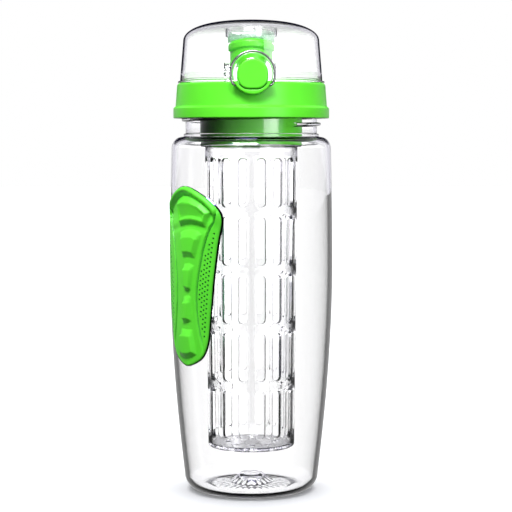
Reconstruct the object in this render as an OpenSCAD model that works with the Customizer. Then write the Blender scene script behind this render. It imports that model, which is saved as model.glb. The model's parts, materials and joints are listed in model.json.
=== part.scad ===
// Infuser water bottle: a clear vessel with a screw lid, a flip cover and a slotted fruit basket.
// Millimetres. It stands on z = 0 with its axis on Z, and its release button faces -Y.

/* [Vessel] */
// Radius of the widest part of the vessel
belly_r = 46.1; // [44:0.1:52]
// Height of the widest part
belly_z = 126; // [110:1:140]
// Radius at the foot of the shoulder
shoulder_r = 45; // [43.5:0.1:50]
// Height at the foot of the shoulder
shoulder_z = 194; // [188:0.5:205]
// Radius of the shoulder's round
shoulder_round = 6.5; // [5:0.1:7]
// Outer radius of the ring that the vessel stands on
foot_r = 29; // [26:0.1:33]
// Width of that ring
foot_w = 5; // [3:0.1:8]
// Radius of the round between foot and side
heel_round = 9; // [7:0.1:11]
// Wall of the vessel
wall_t = 2.4; // [1.8:0.1:2.8]
// Thickness of the floor
floor_t = 3.4; // [2.6:0.1:5]
// Height of the dimple under the floor
punt_h = 5.5; // [3:0.1:8]
// Radius of the dimple's flat top
punt_r = 6.6; // [4:0.1:9]
// Radius of the ridge around the dimple
punt_ridge_r = 11; // [10:0.1:13]

/* [Neck] */
// Outer radius of the neck
neck_r = 37.1; // [36.5:0.1:38]
// Wall of the neck
neck_t = 2.2; // [1.6:0.1:2.6]
// Height of the neck above the shoulder
neck_h = 25.3; // [23:0.1:30]
// How far the bead at the foot of the neck stands out
bead_out = 1.1; // [0.6:0.1:1.5]
// Height of that bead
bead_h = 1.6; // [1:0.1:2.4]

/* [Screw thread] */
// Rise of the thread in one turn
thread_pitch = 4.5; // [4:0.1:5.4]
// Height of the thread's ridge above its wall
thread_d = 2.2; // [1.6:0.1:2.4]
// Width of the ridge at its wall
thread_root_w = 2.4; // [1.8:0.1:2.6]
// Width of the ridge at its crest
thread_crest_w = 1.2; // [0.8:0.1:1.4]
// Height of the neck's thread start above the shoulder
thread_start = 6.4; // [5:0.1:8]
// Turns of thread on the neck
neck_turns = 2.5; // [2:0.25:3]
// Turns of thread in the lid
lid_turns = 1; // [0.75:0.25:1.25]

/* [Grip] */
// Direction that the grip faces, from the front
grip_turn = -54.5; // [-90:0.5:0]
// Height of the grip's lower end
grip_z = 73.4; // [60:0.1:85]
// Length of the grip
grip_len = 100.2; // [80:0.1:110]
// Half width of the grip at its widest
grip_half_w = 25.1; // [20:0.1:28]
// Depth of the grip's seat in the vessel
grip_seat = 1.4; // [0.9:0.1:1.6]
// How far the top of each rib stands above the grip
rib_out = 1.9; // [1:0.1:2.2]
// Width of the dimpled panel beside the ribs
panel_w = 9.5; // [7:0.1:11]

/* [Lid] */
// Wall of the lid's skirt at its top
skirt_t = 1.8; // [1.5:0.1:2.5]
// How much the skirt widens on its way down
skirt_flare = 1.15; // [0.5:0.05:1.6]
// Length of the lid's skirt
skirt_h = 19.4; // [18:0.1:21]
// How far the band at the skirt's foot stands out
band_out = 1.1; // [0.6:0.1:1.8]
// Height of that band
band_h = 5.5; // [4:0.1:7]
// Height of the band's sloped top
band_slope = 1.2; // [0.6:0.1:2]
// Thickness of the lid's deck
deck_t = 3; // [2.6:0.1:3.6]
// Round on the lid's top edge
deck_round = 1.2; // [0.6:0.1:1.5]
// Thickness of the sealing ring under the deck
gasket_t = 1.5; // [1.2:0.1:2]

/* [Mouthpiece] */
// Outer radius of the mouthpiece
spout_r = 11.9; // [10:0.1:12.4]
// Radius of its bore
spout_bore_r = 8.4; // [6:0.1:9]
// Height of its top above the deck
spout_h = 24.9; // [20:0.1:25.5]
// How far its lip stands out
lip_out = 1.1; // [0.6:0.1:1.4]
// Height of its lip
lip_h = 5; // [3:0.1:6]
// Radius of the arch across its top
lip_arch_r = 38.4; // [30:0.1:60]

/* [Flip cover] */
// Wall of the cover
cover_t = 1.6; // [1.4:0.1:2.4]
// Step from the lid's edge in to the cover's wall
cover_step = 1.6; // [1.2:0.1:2]
// How much the cover narrows on its way up
cover_draft = 1.8; // [1:0.1:2.4]
// Height of the cover's side
cover_side_h = 23.3; // [22:0.1:27]
// Rise of the cover's crown above its side
crown_h = 11.9; // [9:0.1:14]
// Thickness of the rim at the cover's foot
rim_t = 1; // [0.8:0.1:1.4]
// Radius of the cup that holds the seal
cup_r = 14.5; // [13.8:0.1:16]
// Wall of that cup
cup_t = 1.2; // [1:0.1:1.6]

/* [Latch] */
// Height of the latch's centre above the deck
latch_up = 4; // [3.6:0.1:4.4]
// Outer radius of the latch's frame
bezel_r = 11.1; // [10.6:0.1:11.6]
// How far the frame's face stands out from the lid's top edge
bezel_out = 5.3; // [5:0.1:6]
// Half width of the release button
button_half_w = 8.05; // [7.6:0.05:8.2]
// Radius of the button's lower corners
button_corner_r = 6; // [5:0.1:7]
// How far the button stands out from its frame
button_out = 0.5; // [0.3:0.1:0.8]
// Thickness of the button's face plate
button_t = 2.9; // [2.4:0.1:3]
// Travel of the button
button_travel = 1.8; // [1.4:0.1:1.8]
// Depth of the arch on the cover, radially
arch_t = 2.8; // [2.4:0.1:3]
// Radius of the locking bail's wire
bail_wire_r = 0.6; // [0.5:0.05:0.65]
// Radius of the bail's bow, to the middle of the wire
bail_r = 12; // [11.9:0.1:12.5]
// Distance of the bail's pivot below the latch's centre
bail_drop = 6.3; // [6:0.1:6.6]

/* [Hinge] */
// Radius of the hinge's knuckles
knuckle_r = 4.1; // [3.6:0.1:4.3]
// Distance of the hinge's axis behind the lid's top edge
hinge_out = 1.7; // [1.5:0.1:2.5]
// Height of the hinge's axis above the deck
hinge_up = 6.8; // [6.6:0.1:8]
// Radius of the hinge pin
pin_r = 1.25; // [1:0.05:1.4]
// Half width of the lid's lugs
lug_half_w = 11.5; // [10:0.1:13]
// Width of each knuckle on the cover
knuckle_w = 4.1; // [3:0.1:5]
// Half width of the gap that holds the hinge spring
coil_half_w = 4.7; // [4.5:0.1:5.5]

/* [Basket] */
// Space between the basket's collar and the bore of the neck
collar_room = 6.1; // [5:0.1:8]
// Wall of the collar
collar_t = 2; // [1.9:0.1:2.4]
// Length of the collar
collar_len = 29.9; // [26:0.1:34]
// Length of the basket below the collar
basket_len = 172.2; // [140:0.1:178]
// Wall of the basket
basket_t = 1.8; // [1.4:0.1:2.2]
// How much the basket narrows on its way down
basket_draft = 1.7; // [0.5:0.1:3]
// Length of the basket's neck inside the collar
basket_neck = 14.5; // [13:0.1:18]
// Slots around the basket
slots_round = 16; // [10:2:18]
// Rows of slots
slot_rows = 5; // [3:1:6]
// Width of each slot
slot_w = 5.2; // [3:0.1:5.6]
// Height of the bands between the rows
slot_band = 5.75; // [4:0.05:10]
// Distance of the top slots below the collar
slot_top_gap = 9; // [7:0.1:14]
// Distance of the lowest slots above the basket's foot
slot_foot_gap = 7.5; // [6:0.1:14]
// Number of locking lugs on the basket
lock_lugs = 3; // [2:1:4]
// Turn that locks the basket, in degrees
lock_turn = 35; // [20:1:40]

/* [Springs] */
// Diameter of the hinge spring's wire
hinge_wire = 0.8; // [0.6:0.05:0.85]
// Radius of the hinge spring, to the middle of its wire
hinge_coil_r = 2.3; // [2.1:0.05:2.6]
// Curls of the hinge spring
hinge_curls = 5; // [4:1:6]
// Diameter of the button spring's wire
button_wire = 0.4; // [0.3:0.05:0.5]
// Radius of the button spring, to the middle of its wire
button_coil_r = 1.3; // [1.1:0.05:1.35]
// Curls of the button spring
button_curls = 3; // [2:1:3]

/* [Hidden] */
$fn = 64;
arc_steps = 8;
side_steps = 14;
grip_steps = 6;
side_bow = 1.8;
cut = 1;

// Clearances
seal_gap = 0.1;
thread_gap = 0.6;
grip_gap = 0.15;
lid_gap = 0.3;
cover_gap = 0.3;
button_gap = 0.4;
bail_gap = 0.4;
pin_gap = 0.05;
press_gap = 0.02;
basket_gap = 0.6;
lock_gap = 0.4;
spout_gap = 0.1;

// Vessel
heel_r = foot_r + heel_round;
shoulder_top = shoulder_z + shoulder_round;
shoulder_top_r = shoulder_r - shoulder_round;
foot_in_r = foot_r - foot_w;
neck_in_r = neck_r - neck_t;
rim_z = shoulder_top + neck_h;
foot_bevel = 1.2;
punt_ridge_z = 2.5;
floor_rise = 2;

// Lid
gasket_groove = 0.3;
gasket_z = rim_z + seal_gap;
gasket_in_r = neck_in_r;
gasket_out_r = neck_r + lid_gap;
deck_z0 = gasket_z + gasket_t + seal_gap - gasket_groove;
deck_z = deck_z0 + deck_t;
skirt_in_r = neck_r + thread_d + thread_gap;
lid_top_r = skirt_in_r + skirt_t;
skirt_foot_r = lid_top_r + skirt_flare;
lid_z0 = deck_z - skirt_h;
thread_z = shoulder_top + thread_start;
lid_thread_lead_share = 1.5;
lid_thread_z = thread_z + lid_thread_lead_share * thread_pitch;
thread_start_deg = -59.5;
thread_bury = 0.6;

// Mouthpiece
spout_top = deck_z + spout_h;
spout_foot_h = 0.8;
spout_foot_out = 1.5;
spout_tail = 1;
lip_r = spout_r + lip_out;

// Cover
cover_z = deck_z + cover_gap;
cover_r = lid_top_r - cover_step;
cover_top_r = cover_r - cover_draft;
cover_side_top = cover_z + cover_side_h;
crown_side_pow = 2 / 2.5;
crown_top_pow = 2 / 2.2;
rim_r = lid_top_r - cover_gap - seal_gap;
cup_h = 4;
seal_r = cup_r - cup_t;
seal_z = spout_top + cover_gap;
cup_up = 1.2;
cup_z = seal_z + cup_up;

// Latch
latch_z = deck_z + latch_up;
bezel_face = lid_top_r + bezel_out;
button_face = bezel_face + button_out;
button_back = button_face - button_t;
bezel_top = deck_z;
bail_in = 1.4;
bail_y = bezel_face - bail_in;
bail_z = latch_z - bail_drop;
bail_pin_in = 7;
arch_face = bail_y - bail_wire_r - bail_gap;
arch_r = button_half_w + button_gap + arch_t;
bar_out = 1.5;
bar_in = 0.6;
bar_front = cover_r + bar_out;
bar_back = cover_r - bar_in;
bar_t = 1.4;
hook_x = 3.6;
hook_w = 1.8;
hook_t = 1.3;
hook_drop = 1.7;
hook_z = deck_z - hook_drop;
hook_back = bar_back - cover_gap;
nose_z = cover_z + bar_t + cover_gap;
spring_z = hook_z;
seat_half_w = 2.6;
seat_out = 0.2;
seat_face = lid_top_r + seat_out;
spring_pocket = 0.8;

// Hinge
hinge_y = lid_top_r + hinge_out;
hinge_z = deck_z + hinge_up;
window_half_w = lug_half_w + lock_gap;
window_room = 1.3;
window_top = hinge_z + knuckle_r + window_room;
ear_h = 6.7;
ear_root = 2;
ear_top = hinge_z + ear_h;
ear_knee_share = 0.7;
pin_inset = 0.3;
pin_half_len = window_half_w + knuckle_w - pin_inset;
lug_drop = 8;
lug_foot_z = deck_z - lug_drop;
lug_knee_share = 0.8;
lug_knee_h_share = 0.3;
hinge_half_curl_share = 0.5;
hinge_foot_share = 3.3;
hinge_leg_shares = [[-1.7, 1.15], [-3.17, 1.91], [-3.48, 3.74]];

// Basket
collar_r = neck_in_r - collar_room;
collar_z = deck_z0 - collar_len;
collar_in_r = collar_r - collar_t;
basket_r = collar_in_r - basket_gap;
basket_top = collar_z - lid_gap;
basket_z = basket_top - basket_len;
basket_foot_r = basket_r - basket_draft;
basket_flange_t = 1.3;
basket_flange_r = collar_r - lid_gap;
basket_floor_t = 2;
drain_r = 2;
drain_ring_r = 13;
drain_count = 8;
slot_span = basket_len - slot_top_gap - slot_foot_gap;
slot_len = (slot_span + slot_band) / slot_rows - slot_band;
lock_deg = 24;
lock_out = 1.5;
lock_h = 2.8;
lock_up = 7.5;
lock_z = collar_z + lock_up;
lock_slack_deg = 2;
entry_slack_deg = 3;
entry_deeper = 0.2;

// Grip
grip_edge_shares = [
    [0, 0], [0.1, 0.004], [0.3, 0.023], [0.485, 0.05], [0.605, 0.096], [0.685, 0.158],
    [0.733, 0.26], [0.781, 0.36], [0.808, 0.436], [0.874, 0.585], [0.923, 0.694], [0.983, 0.776],
    [1, 0.817], [0.967, 0.856], [0.869, 0.891], [0.684, 0.934], [0.39, 0.973], [0.18, 0.993], [0, 1]
];
rib_shares = [[0.039, 0.207], [0.25, 0.384], [0.434, 0.567], [0.6, 0.75], [0.777, 0.92]];
rib_tiers = 3;
tier_inset = 1.4;
rib_corner = 2;
channel_d = 0.5;
channel_edge = 1.2;

// Points on an arc about [cx, cy], from angle a0 to a1
function arc(cx, cy, r, a0, a1) =
    [for (i = [0 : arc_steps]) let (a = a0 + (a1 - a0) * i / arc_steps) [cx + r * cos(a), cy + r * sin(a)]];

// Radius of the vessel's side at height z
function side_r(z) = z < belly_z
    ? belly_r - (belly_r - heel_r) * pow((belly_z - z) / (belly_z - heel_round), side_bow)
    : belly_r - (belly_r - shoulder_r) * pow((z - belly_z) / (shoulder_z - belly_z), side_bow);

// Points of the side between two heights, moved out by grow
function side_line(z0, z1, grow, steps = side_steps) =
    [for (i = [0 : steps]) let (z = z0 + (z1 - z0) * i / steps) [side_r(z) + grow, z]];

function backwards(p) = [for (i = [len(p) - 1 : -1 : 0]) p[i]];

// One pass that cuts the corners of a closed outline
function softened(p) = [
    for (i = [0 : len(p) - 1]) let (a = p[i], b = p[(i + 1) % len(p)])
        for (t = [0.25, 0.75]) a * (1 - t) + b * t
];

function unit(v) = v / norm(v);

// Curve over the crown: radius r and rise h above the side's top
function crown(r, h) = [
    for (i = [1 : arc_steps + 2]) let (a = 90 * i / (arc_steps + 2))
        [r * pow(max(cos(a), 0), crown_side_pow), cover_side_top + h * pow(sin(a), crown_top_pow)]
];

// Moves an outline in the XZ plane out to y = -face, and gives it a depth
module to_front(face, depth) {
    translate([0, depth - face, 0])
        rotate([90, 0, 0])
            linear_extrude(depth)
                children();
}

module bar_along_x(r, half_len) {
    rotate([0, 90, 0])
        cylinder(h = 2 * half_len, r = r, center = true);
}

// A helical ridge. Its ends fade into the wall at root_r
module thread_ridge(root_r, crest_r, z, turns) {
    steps_per_turn = 36;
    fade_steps = 5;
    n = round(steps_per_turn * turns);
    bury = root_r < crest_r ? -thread_bury : thread_bury;
    rings = [
        for (i = [0 : n]) let (
            a = thread_start_deg + 360 * turns * i / n,
            zi = z + thread_pitch * turns * i / n,
            fade = min(1, (i + 1) / fade_steps, (n - i + 1) / fade_steps),
            r0 = root_r + bury,
            r1 = root_r + (crest_r - root_r) * fade
        ) for (p = [
            [r0, zi - thread_root_w / 2], [r1, zi - thread_crest_w / 2],
            [r1, zi + thread_crest_w / 2], [r0, zi + thread_root_w / 2]
        ]) [p[0] * cos(a), p[0] * sin(a), p[1]]
    ];
    flip = root_r < crest_r;
    sides = [
        for (i = [0 : n - 1]) for (j = [0 : 3]) let (
            a = 4 * i + j, b = 4 * i + (j + 1) % 4, c = b + 4, d = a + 4
        ) each (flip ? [[a, b, c], [a, c, d]] : [[c, b, a], [d, c, a]])
    ];
    m = 4 * n;
    ends = flip
        ? [[2, 1, 0], [3, 2, 0], [m, m + 1, m + 2], [m, m + 2, m + 3]]
        : [[0, 1, 2], [0, 2, 3], [m + 2, m + 1, m], [m + 3, m + 2, m]];
    polyhedron(rings, concat(sides, ends));
}

// A coil about the X axis, with points of its own before and after it
function coil(r, pitch, curls, a0, before, after) = concat(
    before,
    [for (i = [0 : 8 * curls]) let (a = a0 + 45 * i)
        [pitch * (i / 8 - curls / 2), r * cos(a), r * sin(a)]],
    after
);

// A wire of six sides along a path that keeps away from the X direction
module wire(path, d) {
    n = len(path);
    sides = 6;
    rings = [
        for (i = [0 : n - 1]) let (
            t = unit(path[min(i + 1, n - 1)] - path[max(i - 1, 0)]),
            u = unit(cross(t, [1, 0, 0])),
            v = cross(t, u)
        ) for (j = [0 : sides - 1]) let (a = 360 * j / sides)
            path[i] + (u * cos(a) + v * sin(a)) * d / 2
    ];
    skin = [
        for (i = [0 : n - 2]) for (j = [0 : sides - 1]) let (
            a = sides * i + j, b = sides * i + (j + 1) % sides, c = b + sides, e = a + sides
        ) each [[a, b, c], [a, c, e]]
    ];
    last = sides * (n - 1);
    ends = [for (j = [1 : sides - 2]) each [[0, j + 1, j], [last, last + j, last + j + 1]]];
    polyhedron(rings, concat(skin, ends));
}

// Least gap between the curls of a path, from points at least most of a curl apart
function least_gap(path, d) = min([
    for (i = [0 : len(path) - 1]) for (j = [i + 6 : 1 : len(path) - 1]) norm(path[i] - path[j])
]) - d;

hinge_turns = hinge_curls + hinge_half_curl_share;
hinge_coil_half_len = coil_half_w - hinge_wire;
hinge_pitch = 2 * hinge_coil_half_len / hinge_turns;
hinge_leg_foot = [-hinge_coil_half_len, -hinge_foot_share * hinge_coil_r, hinge_wire - hinge_up];
hinge_leg_knee = [-hinge_coil_half_len, hinge_leg_foot[1] / 2, (hinge_leg_foot[2] - hinge_coil_r) / 2];
hinge_path = coil(
    hinge_coil_r, hinge_pitch, hinge_turns, 270, [hinge_leg_foot, hinge_leg_knee],
    [for (p = hinge_leg_shares) [hinge_coil_half_len, p[0] * hinge_coil_r, p[1] * hinge_coil_r]]
);
button_pitch = (button_back + spring_pocket - seat_face - button_wire) / button_curls;
button_path = coil(button_coil_r, button_pitch, button_curls, 0, [], []);
echo(hinge_spring_least_gap = least_gap(hinge_path, hinge_wire));
echo(button_spring_least_gap = least_gap(button_path, button_wire));

// Outline of the grip, in the plane that it faces
module grip_outline() {
    right = [for (p = grip_edge_shares) [p[0] * grip_half_w, grip_z + p[1] * grip_len]];
    left = [for (i = [len(right) - 2 : -1 : 1]) [-right[i][0], right[i][1]]];
    polygon(softened(concat(right, left)));
}

// One rib of the grip, drawn in from its edge
module rib_outline(span, inset) {
    low = grip_z + span[0] * grip_len + inset;
    high = grip_z + span[1] * grip_len - inset;
    offset(r = rib_corner, $fn = 16)
        offset(delta = -rib_corner)
            intersection() {
                offset(delta = -panel_w - inset)
                    grip_outline();
                translate([-grip_half_w, low])
                    square([2 * grip_half_w, high - low]);
            }
}

// A block with the given outline that faces the way the grip does
module from_grip_side() {
    rotate([0, 0, grip_turn])
        to_front(belly_r + 2 * rib_out, belly_r)
            children();
}

// The vessel's side as a solid between the grip's ends, moved out by grow
module side_core(grow) {
    low = grip_z - cut;
    high = grip_z + grip_len + cut;
    rotate_extrude()
        polygon(concat([[0, low]], side_line(low, high, grow, grip_steps), [[0, high]]));
}

module grip_layer(from, to) {
    difference() {
        intersection() {
            from_grip_side()
                children();
            side_core(to);
        }
        side_core(from);
    }
}

module bottle() {
    outer = concat(
        [[0, punt_h], [punt_r, punt_h], [punt_ridge_r, punt_ridge_z], [foot_in_r, foot_bevel], [foot_in_r, 0]],
        arc(foot_r, heel_round, heel_round, -90, 0),
        side_line(heel_round + cut, shoulder_z, 0),
        arc(shoulder_top_r, shoulder_z, shoulder_round, 0, 90),
        [[neck_r + bead_out, shoulder_top], [neck_r + bead_out, shoulder_top + bead_h],
            [neck_r, shoulder_top + bead_h], [neck_r, rim_z]]
    );
    inner = concat(
        [[neck_in_r, rim_z], [neck_in_r, shoulder_top - wall_t / 2]],
        backwards(arc(shoulder_top_r, shoulder_z, shoulder_round - wall_t, 0, 90)),
        backwards(side_line(heel_round + cut, shoulder_z, -wall_t)),
        backwards(arc(foot_r, heel_round, heel_round - wall_t, -90, 0)),
        [[punt_ridge_r, floor_t + floor_rise], [punt_r, punt_h + floor_t], [0, punt_h + floor_t]]
    );
    color("aliceblue", 0.35)
        difference() {
            union() {
                rotate_extrude()
                    polygon(concat(outer, inner));
                thread_ridge(neck_r, neck_r + thread_d, thread_z, neck_turns);
            }
            grip_layer(-grip_seat, 2 * rib_out)
                grip_outline();
        }
}

module grip_pad() {
    color("limegreen")
        difference() {
            union() {
                grip_layer(grip_gap - grip_seat, 0)
                    offset(delta = -grip_gap)
                        grip_outline();
                for (span = rib_shares, tier = [1 : rib_tiers])
                    grip_layer(-channel_d - cut / 4, rib_out * tier / rib_tiers)
                        rib_outline(span, tier_inset * (tier - 1));
            }
            difference() {
                grip_layer(-channel_d, cut)
                    offset(delta = -panel_w + channel_edge)
                        grip_outline();
                for (span = rib_shares)
                    grip_layer(-channel_d - cut / 4, 2 * cut)
                        rib_outline(span, 0);
            }
        }
}

module lid_gasket() {
    color("whitesmoke")
        translate([0, 0, gasket_z])
            difference() {
                cylinder(h = gasket_t, r = gasket_out_r);
                translate([0, 0, -cut])
                    cylinder(h = gasket_t + 2 * cut, r = gasket_in_r);
            }
}

// Section of the lid's shell
module lid_section() {
    band_r = skirt_foot_r + band_out;
    polygon(concat(
        [[0, deck_z0], [gasket_in_r - lid_gap, deck_z0], [gasket_in_r - lid_gap, deck_z0 + gasket_groove],
            [gasket_out_r + lid_gap, deck_z0 + gasket_groove], [gasket_out_r + lid_gap, deck_z0],
            [skirt_in_r, deck_z0], [skirt_in_r, lid_z0], [band_r, lid_z0], [band_r, lid_z0 + band_h],
            [skirt_foot_r, lid_z0 + band_h + band_slope]],
        arc(lid_top_r - deck_round, deck_z - deck_round, deck_round, 0, 90),
        [[0, deck_z]]
    ));
}

// The lugs that carry the hinge pin, in section
module lug_section() {
    translate([hinge_y, hinge_z])
        circle(r = knuckle_r);
    polygon([
        [skirt_in_r, lug_foot_z], [lid_top_r + skirt_flare / 2, lug_foot_z],
        [hinge_y + knuckle_r * lug_knee_share, deck_z + hinge_up * lug_knee_h_share], [hinge_y + knuckle_r, hinge_z],
        [hinge_y - knuckle_r, hinge_z], [skirt_in_r, deck_z]
    ]);
}

module lid_shell() {
    color("limegreen")
        difference() {
            union() {
                rotate_extrude()
                    lid_section();
                thread_ridge(skirt_in_r, skirt_in_r - thread_d - thread_gap / 6, lid_thread_z, lid_turns);
                rotate([90, 0, 90])
                    linear_extrude(2 * lug_half_w, center = true)
                        lug_section();
                translate([-seat_half_w, -seat_face, hook_z - cut])
                    cube([2 * seat_half_w, skirt_t, deck_z - hook_z + cut]);
            }
            translate([0, 0, deck_z0 - cut])
                cylinder(h = deck_t + 2 * cut, r = spout_r + spout_gap);
            translate([0, hinge_y, hinge_z])
                bar_along_x(pin_r + press_gap, lug_half_w + cut);
            translate([-coil_half_w, hinge_y - 2 * knuckle_r, deck_z + cut])
                cube([2 * coil_half_w, 4 * knuckle_r, 2 * knuckle_r + hinge_up]);
            for (side = [-1, 1])
                translate([side * (hook_x + hook_w / 2), 0, 0])
                    translate([-hook_w / 2 - button_gap, -lid_top_r - cut, hook_z - cover_gap])
                        cube([hook_w + 2 * button_gap, lid_top_r + cut - hook_back + hook_w + 2 * button_travel,
                            deck_t]);
        }
}

module basket_collar() {
    color("limegreen")
        difference() {
            translate([0, 0, collar_z])
                cylinder(h = collar_len, r = collar_r);
            translate([0, 0, collar_z - cut])
                cylinder(h = collar_len + 2 * cut, r = collar_in_r);
            for (i = [0 : lock_lugs - 1])
                rotate([0, 0, 360 * i / lock_lugs]) {
                    lock_sector(collar_in_r - cut, basket_r + lock_out + lock_gap, -lock_slack_deg,
                        lock_deg + lock_turn + lock_slack_deg, lock_z - lock_gap, lock_z + lock_h + lock_gap);
                    lock_sector(collar_in_r - cut / 2, basket_r + lock_out + lock_gap + entry_deeper,
                        lock_turn - entry_slack_deg, lock_deg + lock_turn + entry_slack_deg, collar_z - cut,
                        lock_z + lock_h);
                }
        }
}

// Part of a ring between two radii, two angles and two heights
module lock_sector(r0, r1, a0, a1, z0, z1) {
    rotate([0, 0, a0])
        translate([0, 0, z0])
            rotate_extrude(angle = a1 - a0)
                translate([r0, 0])
                    square([r1 - r0, z1 - z0]);
}

// Everything under the arch of the mouthpiece's top, lowered by drop
module under_arch(drop) {
    translate([0, 0, spout_top - drop - lip_arch_r])
        rotate([90, 0, 0])
            cylinder(h = 4 * cup_r, r = lip_arch_r, center = true, $fn = 128);
}

module mouthpiece() {
    color("limegreen")
        difference() {
            union() {
                translate([0, 0, deck_z0 - spout_tail])
                    intersection() {
                        cylinder(h = spout_h + deck_t + spout_tail, r = spout_r);
                        translate([0, 0, spout_tail - deck_z0])
                            under_arch(0);
                    }
                translate([0, 0, deck_z])
                    cylinder(h = spout_foot_h, r1 = spout_r + spout_foot_out, r2 = spout_r + spout_foot_h);
                intersection() {
                    translate([0, 0, deck_z])
                        cylinder(h = spout_h, r = lip_r);
                    difference() {
                        under_arch(0);
                        under_arch(lip_h);
                    }
                    translate([-lip_r, -lip_r, spout_top - 2 * lip_h])
                        cube([2 * lip_r, 2 * lip_r, 2 * lip_h]);
                }
            }
            translate([0, 0, deck_z0 - spout_tail - cut])
                cylinder(h = spout_h + 2 * deck_t + spout_tail + 2 * cut, r = spout_bore_r);
        }
}

module hinge_pin() {
    color("silver")
        translate([0, hinge_y, hinge_z])
            bar_along_x(pin_r, pin_half_len);
}

module hinge_spring() {
    color("silver")
        translate([0, hinge_y, hinge_z])
            wire(hinge_path, hinge_wire);
}

// The space inside the cover
module cover_core() {
    rotate_extrude()
        polygon(concat(
            [[0, cover_z - cut], [cover_r - cover_t, cover_z - cut], [cover_r - cover_t, cover_z]],
            [[cover_top_r - cover_t, cover_side_top]],
            crown(cover_top_r - cover_t, crown_h - cover_t)
        ));
}

module cover_outside() {
    rotate_extrude()
        polygon(concat(
            [[0, cover_z], [rim_r, cover_z], [rim_r, cover_z + rim_t], [cover_r, cover_z + rim_t],
                [cover_top_r, cover_side_top]],
            crown(cover_top_r, crown_h)
        ));
}

// The button's face, moved out by grow
module button_outline(grow) {
    inset = button_half_w - button_corner_r;
    translate([0, latch_z]) {
        circle(r = button_half_w + grow);
        for (side = [-1, 1])
            translate([side * inset, -inset])
                circle(r = button_corner_r + grow);
        translate([-inset, -button_half_w - grow])
            square([2 * inset, button_half_w + grow]);
        translate([-button_half_w - grow, -inset])
            square([2 * (button_half_w + grow), inset]);
    }
}

module flip_cover() {
    color("aliceblue", 0.35)
        difference() {
            union() {
                difference() {
                    union() {
                        cover_outside();
                        to_front(arch_face, arch_face - cover_r + cover_t)
                            intersection() {
                                translate([0, latch_z])
                                    circle(r = arch_r);
                                translate([-arch_r, cover_z])
                                    square([2 * arch_r, 2 * arch_r]);
                            }
                        cover_ears();
                    }
                    cover_core();
                    to_front(arch_face + cut, arch_face)
                        button_outline(button_gap);
                    translate([-window_half_w, cover_top_r / 2, cover_z - cut])
                        cube([2 * window_half_w, cover_r, window_top - cover_z + cut]);
                }
                translate([-button_half_w - button_gap - cut / 2, -bar_front, cover_z])
                    cube([2 * (button_half_w + button_gap) + cut, bar_front - bar_back, bar_t]);
                intersection() {
                    translate([0, 0, cup_z])
                        difference() {
                            cylinder(h = crown_h, r = cup_r);
                            translate([0, 0, -cut])
                                cylinder(h = cup_h + cut, r = seal_r);
                        }
                    cover_outside();
                }
            }
            translate([0, hinge_y, hinge_z])
                bar_along_x(pin_r + pin_gap, window_half_w + knuckle_w + cut);
        }
}

// The two knuckles on the cover, and the webs that join them to its wall
module cover_ears() {
    for (side = [-1, 1])
        translate([side * (window_half_w + knuckle_w / 2), 0, 0])
            rotate([90, 0, 90])
                linear_extrude(knuckle_w, center = true) {
                    translate([hinge_y, hinge_z])
                        circle(r = knuckle_r);
                    polygon([
                        [cover_top_r - cover_t - ear_root, hinge_z - knuckle_r], [hinge_y, hinge_z - knuckle_r],
                        [hinge_y + knuckle_r * ear_knee_share, hinge_z + knuckle_r * ear_knee_share],
                        [cover_r - cover_draft / 2, ear_top],
                        [cover_top_r - cover_t - ear_root, ear_top]
                    ]);
                }
}

module spout_seal() {
    color("honeydew")
        difference() {
            translate([0, 0, seal_z - lip_h])
                cylinder(h = cup_z + cup_h - seal_z + lip_h, r = seal_r - press_gap);
            under_arch(-cover_gap);
            translate([-2 * cup_r, -2 * cup_r, 0])
                cube([4 * cup_r, 4 * cup_r, spout_top - lip_h]);
        }
}

module latch_bezel() {
    color("limegreen")
        difference() {
            to_front(bezel_face, bezel_face - lid_top_r + 2 * skirt_t)
                difference() {
                    intersection() {
                        translate([0, latch_z])
                            circle(r = bezel_r);
                        translate([-bezel_r, bezel_top - bezel_r])
                            square([2 * bezel_r, bezel_r]);
                    }
                    button_outline(button_gap);
                }
            rotate_extrude()
                polygon(concat(
                    [[0, lid_z0], [skirt_foot_r, lid_z0 + band_h + band_slope]],
                    arc(lid_top_r - deck_round, deck_z - deck_round, deck_round, 0, 90),
                    [[0, deck_z + cut]]
                ));
            translate([0, -bail_y, bail_z])
                bar_along_x(bail_wire_r, bezel_r + cut);
        }
}

module release_button() {
    color("limegreen") {
        difference() {
            to_front(button_face, button_t)
                button_outline(0);
            translate([0, -button_back, spring_z])
                rotate([90, 0, 0])
                    cylinder(h = spring_pocket + cut / 10, r = button_coil_r + button_wire);
        }
        for (side = [-1, 1])
            translate([side * (hook_x + hook_w / 2), 0, 0])
                translate([-hook_w / 2, 0, 0]) {
                    translate([0, -button_back - press_gap, hook_z])
                        cube([hook_w, button_back - hook_back + hook_t + press_gap, hook_t]);
                    translate([0, -hook_back, hook_z])
                        cube([hook_w, hook_t, nose_z + hook_t - hook_z]);
                }
    }
}

module button_spring() {
    color("silver")
        translate([0, -(seat_face + button_back + spring_pocket) / 2, spring_z])
            rotate([0, 0, 90])
                wire(button_path, button_wire);
}

module lock_bail() {
    reach = asin(bail_drop / bail_r);
    past = asin(bail_wire_r / bail_r);
    pivot_x = bail_r * cos(reach);
    color("silver")
        translate([0, -bail_y, 0]) {
            translate([0, 0, latch_z])
                rotate([90, 0, 0])
                    rotate([0, 0, -reach - past])
                        rotate_extrude(angle = 180 + 2 * (reach + past))
                            translate([bail_r, 0])
                                circle(r = bail_wire_r);
            for (side = [-1, 1])
                translate([side * (pivot_x + bail_pin_in) / 2, 0, bail_z])
                    bar_along_x(bail_wire_r - pin_gap, (pivot_x - bail_pin_in) / 2);
        }
}

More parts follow.
